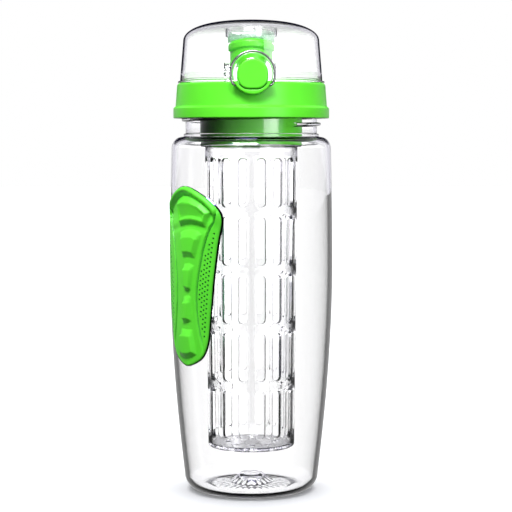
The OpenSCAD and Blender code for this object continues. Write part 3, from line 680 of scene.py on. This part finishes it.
# each block: its outline at the foot of its bevels, then the outline of its face
BLOCKS = [
    ([(-9.6, 165), (-2.4, 168.25), (4.9, 168.1), (12.3, 165), (16.6, 162), (19.2, 159.4), (16.3, 151.2),
      (10.7, 152.4), (5.3, 152.7), (0.7, 152.4), (-4, 151.1)],
     [(-5.3, 163.1), (0.25, 164.7), (6.1, 164.5), (12.5, 162.2), (17.1, 158.5), (15.6, 154.4),
      (12.6, 155.2), (7.3, 155.9), (2.3, 155.4), (-3.2, 154.3)]),
    ([(-3.9, 147.6), (0.7, 149.2), (6.4, 149.8), (10.8, 149.3), (14.3, 147.3), (9.6, 134), (4.4, 134.4),
      (-0.6, 134)],
     [(-1.3, 144.2), (3.7, 145.5), (8.5, 145.4), (10.9, 144.4), (8.3, 137.3), (4.9, 137.9), (0.2, 137.3)]),
    ([(0.8, 130.6), (4.8, 131.2), (9, 130), (6, 116.1), (2.7, 115.7), (0.7, 116.4), (-1.5, 124)],
     [(0.75, 127.2), (6, 127.3), (5.35, 117.8), (1.7, 118.4)]),
    ([(-0.2, 112.5), (2.8, 113.3), (5.9, 113.1), (6.5, 111.9), (6, 99.1), (1.4, 97.8), (-1.6, 98.2)],
     [(0.3, 108.9), (4.1, 109), (3.4, 100.8), (-0.8, 100.2)]),
    ([(-3.6, 94.4), (6.7, 94.5), (9.1, 80.8), (5.4, 78.8), (-0.2, 77.6), (-6.9, 79.2)],
     [(-4, 90.3), (5.1, 90.6), (6.5, 82.3), (2.5, 81.1), (-2, 80.9), (-6.2, 82.2)]),
]


def relief(x, z, d):
    """Height of the grip above the vessel's side, where d is the distance to the grip's edge."""
    xr, xl = groove_r(z), groove_l(z)
    strip = np.minimum(xr - x, x - xl)
    h = PANEL_H - np.where(strip > 0, STRIP_DIP * np.clip(strip / 2, 0, 1), 0)
    # hood at the top: a raised lip, then a slope down into the thumb pocket
    hood = eased(np.clip((z - HOOD_Z) / HOOD_LEN, 0, 1))
    lip = np.interp(d, [0, 0.5, 1.2, 1.9, 2.6, 5.0, 6.0], [0.0, 0.9, 1.35, 1.45, 1.15, -0.85, -0.9])
    pocket = np.where(strip > -2.5, lip, np.maximum(lip, h))
    h = h * (1 - hood) + pocket * hood
    # blocks; the face of the first one slopes down to its lower edge, with a dent below it
    flat = np.stack([x, z], 1)
    for foot, face in BLOCKS:
        a, b = (edge_distance(flat, np.array(loop, float)[::-1]) for loop in (foot, face))
        k = np.where(b >= 0, 1, np.clip(a, 0, None) / np.maximum(a - b, 1e-6))
        top = BLOCK_H
        if foot is BLOCKS[0][0]:
            slope = np.clip((SLOPE_Z - z) / 6, 0, 1) ** 0.85
            top = BLOCK_H - 1.1 * slope * np.clip(0.35 + b / 2.4, 0, 1)
            dent = np.exp(-((z - DENT_Z + 0.01 * (x - 4) ** 2) / 2.0) ** 2)
            h = h - 0.5 * dent * np.clip(strip / 2, 0, 1)
        h = h + (top - h) * k
    # grooves beside the strip
    fade = np.clip((z - 80) / 12, 0.0, 1) * np.clip((161.5 - z) / 4, 0, 1)
    for groove in (xr, xl):
        h -= GROOVE_DEPTH * np.clip(1.12 - np.abs(x - groove) / GROOVE_REACH, 0, 1) * fade
    # round outer edge
    e = EDGE_ROUND
    drop = e - np.sqrt(np.clip(e * e - (e - np.clip(d, 0, e)) ** 2, 0, None))
    h -= np.where(d < e, drop, 0) * (1 - 0.5 * hood)
    # stays inside the widest part of the vessel
    a = math.radians(GRIP_TURN)
    r = side_r(z) + h
    y = -np.sqrt(np.clip(r * r - x * x, 1, None))
    past = np.abs(x * math.cos(a) - y * math.sin(a)) - (BELLY_R - 0.06)
    return np.where(past > 0, h - past, h)


def dimples():
    """Columns of small round dimples in the panel on each side of the strip."""
    edge = curve([(z, x) for x, z in right[3:]])
    spots = []
    for col, (low, high) in enumerate([(90.5, 149.5), (94.5, 143.5), (101.0, 137.5), (110.5, 129.5)]):
        z = 91.35 - 0.94 * col
        while z < high:
            if z > low:
                x = float(edge(z)) - 2.5 - 1.62 * col
                spots += [(x, z), (-x, z)]
            z += DIMPLE_STEP
    return np.array(spots)


def make_grip():
    loop = inset(resampled(grip_outline, 0.5), 0.15)
    spots = dimples()
    pts = over_grip(0.42)
    pts = pts[(edge_distance(pts, loop) > 1.15) & (spot_distance(pts, spots) > 0.78)]
    extra = [inset(loop, k) for k in (0.08, 0.25, 0.5, 0.85)]
    circle = unit(np.arange(8) * math.pi / 4)
    for s in spots:
        extra += [s + 0.58 * circle, s + 0.44 * circle, s[None]]
    v, f = filled(np.vstack([pts] + extra), loop)
    h = relief(*v.T, np.clip(edge_distance(v, loop), 0, None))
    h -= np.where(spot_distance(v, spots) < DIMPLE_R, DIMPLE_DEPTH, 0.0)
    front = wrapped(*v.T, h)
    rim = boundary_loop(f)
    edge = v[rim]
    step = inset(edge, 0.2)
    foot = -GRIP_SEAT + 0.15
    rows = [front[rim], wrapped(*edge.T, np.minimum(h[rim], 0) * 0.5 - 0.45),
            wrapped(*edge.T, -GRIP_SEAT + 0.35), wrapped(*step.T, foot)]
    pts = over_grip(2.5)
    bv, bf = filled(pts[edge_distance(pts, step) > 1.5], step)
    shape = join((front, [tuple(t) for t in f]), *[loft([a, b], caps=False) for a, b in zip(rows, rows[1:])],
                 (wrapped(*bv.T, foot), [tuple(t)[::-1] for t in bf]))
    place(raw(shape, weld=2e-3), "grip_relief", "vessel", "green_silicone", ["grip_pad"], 42)


# --- lid
def make_lid():
    section = rounded([
        (0, DECK_Z0), (GASKET_IN_R, DECK_Z0), (GASKET_IN_R, DECK_Z0 + GASKET_SINK),
        (GASKET_R, DECK_Z0 + GASKET_SINK), (GASKET_R, DECK_Z0), (SKIRT_IN, DECK_Z0, 0.6),
        (SKIRT_IN, LID_Z0, 0.3), (BAND_R, LID_Z0, 0.5), (BAND_R, LID_Z0 + 5.5, 0.5),
        (SKIRT_FOOT_R - 0.15, LID_Z0 + 6.7, 0.5), (LID_TOP_R, DECK_Z, 1.3), (0, DECK_Z)], 6)
    parts = [raw(lathe(section, 256)), raw(thread(SKIRT_IN, LID_THREAD_R, LID_THREAD_Z, LID_THREAD_TURNS))]
    side = rounded([(SKIRT_IN, 222.2), (LID_TOP_R + 0.55, 222.2, 1.0), (HINGE_Y + 3.3, 232.2, 2.5)], 5)
    side += arc(HINGE_Y, HINGE_Z, KNUCKLE_R, -10, 190, 24) + [(HINGE_Y - 3.9, 233.5), (SKIRT_IN, DECK_Z)]
    for s in (-1, 1):
        parts.append(bevelled(raw(prism_x(side, s * COIL_W, s * LUG_W)), 0.45, 3, 60))
    bridge = rounded([(SKIRT_IN, 222.6), (LID_TOP_R + 0.4, 222.6, 1.0), (HINGE_Y + 2.4, 230.4, 1.0),
                      (HINGE_Y + 2.2, 231.2, 0.6), (SKIRT_IN, 231.2)], 5)
    parts.append(raw(prism_x(bridge, -COIL_W - 0.5, COIL_W + 0.5)))
    place(merge(parts), "lid_body", "lid", "green_plastic", ["lid_shell"], 40)


def lip_dip(x):
    """How far the mouthpiece's arched lip lies below its middle."""
    return LIP_ARCH - math.sqrt(LIP_ARCH ** 2 - x * x)


def make_mouthpiece():
    section = rounded([
        (SPOUT_BORE, 226.2), (SPOUT_R, 226.2), (SPOUT_R, 229.8), (13.4, 230.0), (13.4, 230.5, 0.3),
        (12.1, 231.6, 0.8), (SPOUT_R, 233), (SPOUT_R, SPOUT_TOP - LIP_H - 0.3, 0.5),
        (LIP_R, SPOUT_TOP - LIP_H + 0.6, 0.9), (LIP_R, SPOUT_TOP - 0.9, 1.5), (11.2, SPOUT_TOP, 1.3),
        (SPOUT_BORE + 0.9, SPOUT_TOP, 0.8), (SPOUT_BORE, SPOUT_TOP - 1.4, 1.5)], 6, closed=True)
    v, f = lathe(divided(section, 1.5), 160)
    bent = [(x, y, z - eased(min(1, max(0, (z - 240) / 9))) * lip_dip(x)) for x, y, z in v]
    place(raw((bent, f)), "mouthpiece_body", "lid", "green_plastic", ["mouthpiece"], 50)


def make_collar():
    section = rounded([(COLLAR_IN, COLLAR_Z, 0.5), (COLLAR_R, COLLAR_Z, 0.5), (COLLAR_R, DECK_Z0),
                       (COLLAR_IN, DECK_Z0)], 5, closed=True)
    place(raw(lathe(section, 200)), "collar_body", "lid", "green_plastic", ["basket_collar"], 40)


# --- latch
def button_rho(a, grow):
    """Distance of the button's edge from its middle, in direction a."""
    c, s = math.cos(a), math.sin(a)
    flat = BUTTON_W - BUTTON_CORNER
    full, corner = BUTTON_W + grow, BUTTON_CORNER + grow
    best = full
    for cx in (flat, -flat):
        b = c * cx - s * flat
        q = b * b - (cx * cx + flat * flat - corner * corner)
        best = max(best, b + math.sqrt(max(q, 0)))
    if s < 0 and abs(c / s) * full <= flat:
        best = max(best, full / -s)
    if abs(c) > 1e-6 and s < 0 and abs(s / c) * full <= flat:
        best = max(best, full / abs(c))
    return best


def button_ring(grow, y, n=160, scale=1.0):
    out = []
    for i in range(n):
        a = 2 * math.pi * i / n
        r = button_rho(a, grow) * scale
        out.append((r * math.cos(a), y, LATCH_Z + r * math.sin(a)))
    return out


def make_button():
    e = 0.95
    front = -BUTTON_FACE + e
    rings = [button_ring(0, -BUTTON_BACK), button_ring(0, -BUTTON_FACE + 1.0)]
    rings += [button_ring(-e * (1 - math.cos(t)), front - e * math.sin(t))
              for t in np.linspace(0.25, math.pi / 2, 6)]
    rings += [button_ring(-1.6, -BUTTON_FACE + 0.03), button_ring(-1.0, -BUTTON_FACE, scale=0.5)]
    parts = [raw(loft(rings))]
    for s in (-1, 1):
        x0, x1 = sorted((s * HOOK_X0, s * HOOK_X1))
        for y, top in ((-BUTTON_BACK - 0.02, HOOK_Z + 1.3), (-HOOK_Y - 1.3, HOOK_Z + 5)):
            parts.append(bevelled(raw(box(x0, x1, y, -HOOK_Y, HOOK_Z, top)), 0.2, 2))
    place(merge(parts), "button_body", "button", "green_plastic", ["release_button"], 35)


def make_bezel():
    """The U round the lower half of the button."""
    steps, e = 72, 0.75
    front = -BEZEL_FACE + e
    bend = np.linspace(0.3, math.pi / 2, 5)
    sections = []
    for i in range(steps + 1):
        ends = []
        for tip, r in ((BEZEL_TIP_IN, 0), (BEZEL_TIP_OUT, BEZEL_R)):
            a = math.radians(-tip - i / steps * (180 - 2 * tip))
            r = r or button_rho(a, BEZEL_GAP)
            ends.append(np.array(polar(r, a, 0, LATCH_Z)))
        span = ends[1] - ends[0]
        w = np.linalg.norm(span)
        u = span / w
        loop = [(0, -BEZEL_BACK), (0, front)]
        loop += [(e - e * math.cos(k), front - e * math.sin(k)) for k in bend]
        loop += [(w - e + e * math.sin(k), front - e * math.cos(k)) for k in bend - 0.3]
        loop += [(w, front), (w, -BEZEL_BACK)]
        sections.append([(ends[0][0] + u[0] * q, y, ends[0][1] + u[1] * q) for q, y in loop])
    place(raw(sweep(sections)), "bezel_body", "lid", "green_plastic", ["latch_bezel"], 40)


def make_bail():
    reach = math.asin((LATCH_Z - BAIL_Z) / BAIL_R)
    foot_x = BAIL_R * math.cos(reach)
    bow = [(BAIL_R * math.cos(a), -BAIL_Y, LATCH_Z + BAIL_R * math.sin(a))
           for a in np.linspace(-reach + 0.06, math.pi + reach - 0.06, 90)]
    foot = [(7.0, -BAIL_Y, BAIL_Z), (8.0, -BAIL_Y, BAIL_Z), (foot_x - 0.9, -BAIL_Y, BAIL_Z),
            (foot_x - 0.35, -BAIL_Y, BAIL_Z + 0.12)]
    wire = tube(foot + bow + [(-x, y, z) for x, y, z in foot[::-1]], BAIL_WIRE, 20)
    place(raw(wire), "bail_wire", "bail", "steel", ["lock_bail"], 60)


# --- springs
def coil_path(r, x0, x1, turns, a0, centre, per_turn=28):
    n = int(per_turn * turns)
    return [(x0 + (x1 - x0) * i / n, *polar(r, a0 + 2 * math.pi * turns * i / n, *centre))
            for i in range(n + 1)]


def make_springs():
    half = COIL_W - 0.8
    coil = [(-half, HINGE_Y - y, HINGE_Z - z) for y, z in ((7.6, 6.0), (4.4, 4.4), (1.6, 2.6))]
    coil += coil_path(HINGE_COIL_R, -half, half, HINGE_COIL_TURNS, 1.5 * math.pi, (HINGE_Y, HINGE_Z))
    place(raw(tube(coil, HINGE_WIRE_R, 14)), "hinge_coil", "lid", "steel", ["hinge_spring"], 60)
    leg = [(half, HINGE_Y - HINGE_COIL_R * math.sin(t), HINGE_Z + HINGE_COIL_R * math.cos(t))
           for t in np.linspace(-0.5, 0.35, 6)]
    leg += [(half, HINGE_Y - y, HINGE_Z + z) for y, z in ((4.0, 2.65), (6.4, 3.9), (7.4, 5.2), (8.0, 8.6))]
    place(raw(tube(leg, HINGE_WIRE_R, 14)), "hinge_spring_leg", "cover", "steel", (), 60)
    y0, y1 = -LID_TOP_R - 0.4, -BUTTON_BACK - 0.6
    coil = coil_path(BUTTON_COIL_R, y0, y1, BUTTON_COIL_TURNS, 0, (BUTTON_COIL_Z, 0))
    coil = [(x, y, z) for y, z, x in coil]
    place(raw(tube(coil, BUTTON_WIRE_R, 10)), "button_coil", "button", "steel", ["button_spring"], 60)


# --- cover
def crown(r, h, k=22):
    return [(r * max(math.cos(a), 0) ** 0.8, COVER_SIDE_TOP + h * math.sin(a) ** (2 / 2.2))
            for a in (math.pi / 2 * i / k for i in range(1, k + 1))]


def dome(inwards, foot):
    """The cover's side above a height and its crown, moved inwards, up to the axis."""
    side = [(COVER_TOP_R - inwards + (COVER_R - COVER_TOP_R) * (1 - t), foot + (COVER_SIDE_TOP - foot) * t)
            for t in (0.25, 0.5, 0.75, 1)]
    line = side + crown(COVER_TOP_R - inwards, CROWN_H - inwards)
    return line[:-1] + [(0, line[-1][1])]


def make_cover():
    n = 256
    foot = rounded([(0, COVER_Z), (RIM_R, COVER_Z, 0.3), (RIM_R, COVER_Z + 1.0, 0.4),
                    (COVER_R, COVER_Z + 1.05, 0.4), (COVER_TOP_R, COVER_SIDE_TOP)], 4)[:-1]
    ob = raw(lathe(foot + dome(0, COVER_Z + 1.6), n))
    # arch round the button, with a rounded front edge
    e = 0.9
    bend = [(-ARCH_FACE + e - e * math.sin(t), -e + e * math.cos(t))
            for t in np.linspace(0.3, math.pi / 2, 6)]
    rings = []
    for y, grow in [(-ARCH_BACK, 0), (-ARCH_FACE + e, 0)] + bend:
        r = ARCH_R + grow
        a0 = math.asin((COVER_Z + 0.001 - LATCH_Z) / r)
        rings.append([(r * math.cos(a), y, LATCH_Z + r * math.sin(a))
                      for a in np.linspace(a0, math.pi - a0, 72)])
    boolean(ob, sweep(rings), "UNION")
    ear = rounded([(EAR_IN_Y, HINGE_Z - KNUCKLE_R), (HINGE_Y, HINGE_Z - KNUCKLE_R)], 4)
    ear += arc(HINGE_Y, HINGE_Z, KNUCKLE_R, -88, 45, 18)
    ear += [(COVER_R - 0.3, EAR_TOP - 0.9), (COVER_R - 0.9, EAR_TOP), (EAR_IN_Y, EAR_TOP)]
    for s in (-1, 1):
        boolean(ob, bevelled(raw(prism_x(ear, s * WINDOW_W, s * (WINDOW_W + EAR_W))), 0.4, 3, 60), "UNION")
    inner_r = COVER_R - COVER_T
    hollow = [(0, COVER_Z - 3), (inner_r, COVER_Z - 3), (inner_r, COVER_Z)] + dome(COVER_T, COVER_Z)
    boolean(ob, lathe(hollow, n, start=math.pi / n), "DIFFERENCE")
    boolean(ob, loft([button_ring(0.4, y, 96) for y in (-ARCH_FACE - 1, -20)]), "DIFFERENCE")
    boolean(ob, box(-WINDOW_W, WINDOW_W, 19, 60, COVER_Z - 3, WINDOW_TOP), "DIFFERENCE")
    bar = raw(box(-BAR_X, BAR_X, -BAR_Y1, -BAR_Y0, COVER_Z, COVER_Z + BAR_H))
    boolean(ob, bevelled(bar, 0.25, 2), "UNION")
    boolean(ob, lathe([(CUP_R, CUP_Z), (CUP_R, CUP_TOP), (SEAL_R, CUP_TOP), (SEAL_R, CUP_Z)], 128), "UNION")
    turns = [2 * math.pi * i / 40 for i in range(40)]
    bore = [[(x, *polar(PIN_BORE_R, a, HINGE_Y, HINGE_Z)) for a in turns] for x in (-18, 18)]
    boolean(ob, loft(bore), "DIFFERENCE")
    place(ob, "cover_dome", "cover", "clear_cover", ["flip_cover"], 32)


def make_seal():
    r = SEAL_R - 0.02
    section = [(x, SEAL_Z) for x in np.linspace(0, r - 0.4, 12)]
    section += rounded([(r - 0.4, SEAL_Z), (r, SEAL_Z, 0.35), (r, SEAL_TOP, 0.3), (0, SEAL_TOP)], 4)[1:]
    v, f = lathe(section, 128)
    bent = [(x, y, z - lip_dip(x) if z < CUP_Z - 0.1 else z) for x, y, z in v]
    place(raw((bent, f)), "seal_body", "cover", "clear_silicone", ["spout_seal"], 40)


# --- basket: one cell of wall round a slot, repeated round the tube and up it
MID_R = (BASKET_R + BASKET_FOOT_R) / 2
PITCH_U, PITCH_Z = 2 * math.pi * MID_R / SLOTS, SLOT_LEN + SLOT_BAND
CELL_COLS, CELL_ROWS = 8, 14
COLUMNS = CELL_COLS * SLOTS
TURNS = 0.5 * 2 * math.pi / SLOTS - PITCH_U / 2 / MID_R + np.arange(COLUMNS) * 2 * math.pi / COLUMNS


def basket_r(z):
    return BASKET_FOOT_R + (BASKET_R - BASKET_FOOT_R) * (z - BASKET_Z - 1) / (BASKET_TOP - BASKET_Z - 2.3)


def slot_ring(grow, k=10):
    """A slot's edge round its middle, moved outwards."""
    w, h, r = SLOT_W / 2 + grow, SLOT_LEN / 2 + grow, SLOT_CORNER + grow
    loop = []
    for i, (sx, sz) in enumerate(((1, 1), (-1, 1), (-1, -1), (1, -1))):
        loop += arc(sx * (w - r), sz * (h - r), r, 90 * i, 90 * i + 90, k)
    return np.array(divided(loop, 2.4))


def spun(path):
    """A strip round the basket's axis, on the columns of its cells."""
    return loft([[(*polar(r, a), z) for a in TURNS] for r, z in path], caps=False)


def slotted_wall():
    us = np.linspace(-PITCH_U / 2, PITCH_U / 2, CELL_COLS + 1)
    zs = np.linspace(-PITCH_Z / 2, PITCH_Z / 2, CELL_ROWS + 1)
    border = [(u, zs[0]) for u in us[:-1]] + [(us[-1], z) for z in zs[:-1]]
    border += [(u, zs[-1]) for u in us[:0:-1]] + [(us[0], z) for z in zs[:0:-1]]
    inside = [(u, z) for u in us[1:-1] for z in (zs[0] + 1.2, zs[-1] - 1.2)]
    inside += [(s * (PITCH_U / 2 - 0.85), z) for s in (-1, 1) for z in zs[1:-1]]
    mouth = slot_ring(SLOT_EDGE)
    v, f = triangulated(np.array(inside), [np.array(border), mouth], lambda c: edge_distance(c, mouth) <= 0)
    e = SLOT_EDGE
    rims = [(slot_ring(e - e * math.sin(t)), e - e * math.cos(t)) for t in np.linspace(0, math.pi / 2, 4)]
    rims += [(ring, BASKET_T - depth) for ring, depth in rims[::-1]]

    def put(points, depth, row, col):
        z = SLOT_Z + SLOT_LEN / 2 + row * PITCH_Z + points[:, 1]
        a = (col + 0.5) * 2 * math.pi / SLOTS + points[:, 0] / MID_R
        r = basket_r(z) - depth
        return np.stack([r * np.cos(a), r * np.sin(a), z], 1)

    parts = []
    for cell in ((row, col) for row in range(ROWS) for col in range(SLOTS)):
        parts += [(put(v, 0, *cell), [tuple(t) for t in f]),
                  (put(v, BASKET_T, *cell), [tuple(t)[::-1] for t in f]),
                  loft([put(ring, depth, *cell) for ring, depth in rims], caps=False)]
    return parts


def wall_ends():
    """The tube above the cells, with its flange, and the turn into the floor, outside and inside."""
    z_low, z_high = SLOT_Z - SLOT_BAND / 2, SLOT_Z + ROWS * PITCH_Z - SLOT_BAND / 2
    low_r, high_r = float(basket_r(z_low)), float(basket_r(z_high))
    in_r, floor_z = BASKET_R - BASKET_T, BASKET_Z + FLOOR_T
    return [spun(rounded(path, k)) for path, k in (
        ([(high_r, z_high), (BASKET_R, FLANGE_Z0, 0.3), (FLANGE_R, FLANGE_Z0, 0.4),
          (FLANGE_R, FLANGE_Z1, 0.4), (BASKET_R, FLANGE_Z1, 0.3), (BASKET_R, TUBE_TOP, 0.4),
          (in_r, TUBE_TOP, 0.4), (in_r, FLANGE_Z1, 2), (high_r - BASKET_T, z_high)], 4),
        ([(low_r, z_low), (BASKET_FOOT_R, BASKET_Z, 1.6), (DISC_R, BASKET_Z)], 6),
        ([(low_r - BASKET_T, z_low), (BASKET_FOOT_R - BASKET_T, floor_z, 1.0), (DISC_R, floor_z)], 6))]


def basket_floor():
    """A disc with a ring of round drains."""
    spots = np.array([polar(DRAIN_RING_R, 2 * math.pi * i / DRAINS) for i in range(DRAINS)])
    drains = [spot + DRAIN_R * unit(np.arange(24) * math.pi / 12) for spot in spots]
    pts = hexes(-DISC_R, DISC_R, -DISC_R, DISC_R, 2.4)
    pts = pts[(np.hypot(*pts.T) < DISC_R - 1) & (spot_distance(pts, spots) > DRAIN_R + 0.6)]
    v, f = triangulated(pts, [DISC_R * unit(TURNS)] + drains, lambda c: (
        np.hypot(*c.T) < DISC_R) & (spot_distance(c, spots) > DRAIN_R - 0.03))
    levels = (BASKET_Z, BASKET_Z + FLOOR_T)
    parts = [(np.column_stack([v, np.full(len(v), z)]), [tuple(q)[::flip] for q in f])
             for z, flip in zip(levels, (1, -1))]
    return parts + [loft([np.column_stack([d, np.full(24, z)]) for z in levels], caps=False) for d in drains]


# the lugs of the bayonet: count, degrees along the tube, and section
LUGS, LUG_ARC = 3, 24
LUG_SECTION = ((25.6, 204.8), (27.5, 204.8), (27.7, 205.0), (27.7, 207.4), (27.5, 207.6), (25.6, 207.6))


def make_basket():
    parts = slotted_wall() + wall_ends() + basket_floor()
    for i in range(LUGS):
        a0 = 2 * math.pi * i / LUGS
        parts.append(sweep([[(*polar(r, a0 + a), z) for r, z in LUG_SECTION]
                            for a in np.linspace(0, math.radians(LUG_ARC), 9)]))
    place(raw(join(*parts), weld=2e-3), "basket_body", "basket", "clear_basket", ["infuser_basket"], 35)


for make in (make_vessel, make_grip, make_lid, make_mouthpiece, make_collar, make_button, make_bezel,
             make_bail, make_springs, make_cover, make_seal, make_basket):
    make()
for node, slot in (("lid_gasket", "clear_silicone"), ("hinge_pin", "steel")):
    me = frame["nodes"][node].data
    me.materials.clear()
    me.materials.append(MATERIALS[slot])

# --- floor: it glows towards its rim, so that it meets the white background
FLOOR_HALF, FLOOR_Z = 6, -0.0002

fl = bpy.data.meshes.new("floor")
corners = [(x * FLOOR_HALF, y * FLOOR_HALF, FLOOR_Z) for x, y in ((-1, -1), (1, -1), (1, 1), (-1, 1))]
fl.from_pydata(corners, [], [(0, 1, 2, 3)])
k, put = new_material("pale_floor")
path = k.new("LightPath")
mirrored, through = (k.over(path.outputs[kind + " Depth"]) for kind in ("Glossy", "Transmission"))
paper = k.ramp(k.noise(3, 2), (0.3, (0.93, 0.93, 0.935)), (0.7, (0.95, 0.95, 0.95)))
# painted reflection: seen after a mirroring inside a clear part, the floor turns dark grey and stops glowing
put("Base Color", k.mix(through, k.mix(mirrored, paper, (0.18, 0.18, 0.21)), 0.0))
put("Roughness", 0.6)
put("Specular IOR Level", 0.2)
away = k.new("VectorMath", operation="LENGTH")
k.put(away.inputs[0], k.new("TexCoord").outputs["Object"])
glow = k.ramp(k.calc("MULTIPLY", away.outputs["Value"], 0.5), (0.15, 0.18), (0.78, 1.0))
# painted light: seen through a clear part the floor glows evenly, so no shadow shows through
glow = k.calc("MAXIMUM", glow, k.calc("MULTIPLY", through, 1.18))
put("Emission Color", 1.0)
put("Emission Strength", k.calc("MULTIPLY", glow, k.calc("SUBTRACT", 1.0, mirrored)))
fl.materials.append(MATERIALS["pale_floor"])
floor = bpy.data.objects.new("floor", fl)
floor.visible_diffuse = floor.visible_glossy = False
scene.collection.objects.link(floor)

# --- room: across, along and height run from 0 to 1 with the direction's x, y and z
BARS = 8.0
world = bpy.data.worlds.new("studio")
scene.world = world
world.use_nodes = True
k = Nodes(world.node_tree)
way, path = k.new("SeparateXYZ"), k.new("LightPath")
k.put(way.inputs[0], k.new("TexCoord").outputs["Generated"])
across, along, height = (k.calc("MULTIPLY_ADD", v, 0.5, 0.5) for v in way.outputs)
bearing = k.calc("ARCTAN2", way.outputs[0], way.outputs[1])
bars = k.calc("MULTIPLY_ADD", k.calc("COSINE", k.calc("MULTIPLY", bearing, BARS)), -0.5, 0.5)
# a white room as seen through the clear parts, dimmer with each reflection inside them
room = k.ramp(bars, (0.70, 1.20), (0.95, 1.10))
room = k.mix(1.0, room, k.ramp(height, (0.510, 1.0), (0.522, 1.45)), "MULTIPLY")
inside = k.ramp(along, (0.0, 0.7), (0.22, 0.15), (0.50, 0.0), (0.75, 1.0))
guided = k.mix(inside, 0.02, k.ramp(bars, (0.3, (1.0, 1.0, 1.05)), (0.8, (0.80, 0.78, 0.87))))
busy = k.calc("MULTIPLY", *(k.calc("SINE", k.calc("MULTIPLY", v, often))
                            for v, often in ((bearing, 23.0), (way.outputs[2], 19.0))))
spark = k.ramp(k.calc("MULTIPLY_ADD", busy, 0.5, 0.5), (0.35, (0.24, 0.23, 0.32)), (0.6, (1.3, 1.3, 1.4)))
for bounces, seen in ((0.5, guided), (1.5, spark)):
    room = k.mix(k.over(path.outputs["Glossy Depth"], bounces), room, seen)
# the dim room that is mirrored in every skin
dim = k.ramp(height, (0.45, 0.05), (0.5, 0.12), (0.72, 0.38), (0.86, 0.85))
dim = k.mix(k.ramp(across, (0.2, 0.75), (0.55, 0.0)), dim, 0.01)
dim = k.mix(k.calc("MULTIPLY", bars, 0.5), dim, 0.03)
dim = k.mix(k.ramp(along, (0.60, 0.0), (0.88, 1.0)), dim, 0.62)
room = k.mix(path.outputs["Is Reflection Ray"], room, dim)
# soft light from above for the green parts
fill = k.ramp(height, (0.30, (0.005, 0.01, 0.03)), (0.5, (0.08, 0.11, 0.20)), (0.75, (0.20, 0.23, 0.30)))
fill = k.mix(inside, fill, (0.42, 0.43, 0.47))
room = k.mix(k.over(path.outputs["Diffuse Depth"]), room, fill)
room = k.mix(path.outputs["Is Camera Ray"], room, 1.0)
k.put(world.node_tree.nodes["Background"].inputs["Color"], room)

# --- card: a dark half disc behind the cover, met only by rays mirrored inside a clear wall
CARD_R, CARD_Y, CARD_Z = 0.19, 0.30, 0.238

me = bpy.data.meshes.new("card")
rim = [(CARD_R * math.cos(a), CARD_Y, CARD_Z + CARD_R * math.sin(a)) for a in np.arange(25) * math.pi / 24]
me.from_pydata(rim, [], [tuple(range(len(rim)))])
k, put = new_material("card")
put("Base Color", 0.0)
put("Specular IOR Level", 0.0)
put("Emission Color", (0.015, 0.014, 0.03))
put("Emission Strength", 1.0)
put("Alpha", k.over(k.new("LightPath").outputs["Glossy Depth"]))
me.materials.append(MATERIALS["card"])
card = bpy.data.objects.new("card", me)
card.visible_camera = card.visible_diffuse = card.visible_shadow = False
scene.collection.objects.link(card)

# --- lamps, each linked to what it lights; only the opaque pieces cast their shadows
CLEAR_PIECES = ("vessel_shell", "cover_dome", "basket_body", "seal_body")
lit, grip, ring, ground, solid = (
    bpy.data.collections.new(n) for n in ("lit_object", "lit_grip", "lit_collar", "lit_floor", "opaque"))
ring.objects.link(bpy.data.objects["collar_body"])
ground.objects.link(floor)
for ob in scene.objects:
    if ob.type == "MESH" and ob not in (floor, card):
        (grip if ob.name == "grip_relief" else lit).objects.link(ob)
        if ob.name not in CLEAR_PIECES:
            solid.objects.link(ob)
for name in CLEAR_PIECES[1:]:
    bpy.data.objects[name].visible_shadow = False


def area(name, spot, aim, size, size_y, watts, on, shadows=None):
    lamp = bpy.data.lights.new(name, "AREA")
    lamp.shape = "RECTANGLE"
    lamp.size, lamp.size_y, lamp.energy = size, size_y, watts
    ob = bpy.data.objects.new(name, lamp)
    ob.location = spot
    ob.rotation_euler = (Vector(aim) - Vector(spot)).to_track_quat("-Z", "Y").to_euler()
    ob.light_linking.receiver_collection = on
    ob.light_linking.blocker_collection = shadows
    scene.collection.objects.link(ob)


area("key", (-0.2, -0.95, 1.35), (0, 0, 0.14), 0.8, 0.5, 30, lit, solid)
area("window", (0.70, -1.05, 0.35), (0, 0, 0.15), 0.6, 1.1, 6, lit, solid)
area("side", (-0.45, -0.75, 1.45), (0, 0, 0.14), 0.35, 0.3, 33, grip, solid)
area("inner", (0.75, 0.55, 0.9), (0, 0, 0.12), 0.6, 0.6, 45, grip, solid)
area("low", (0.95, -0.75, 0.12), (0, 0, 0.21), 0.3, 0.3, 5, ring, solid)
area("overhead", (0, 0.1, 1.3), (0, 0.1, 0), 1.4, 1.4, 25, ground)
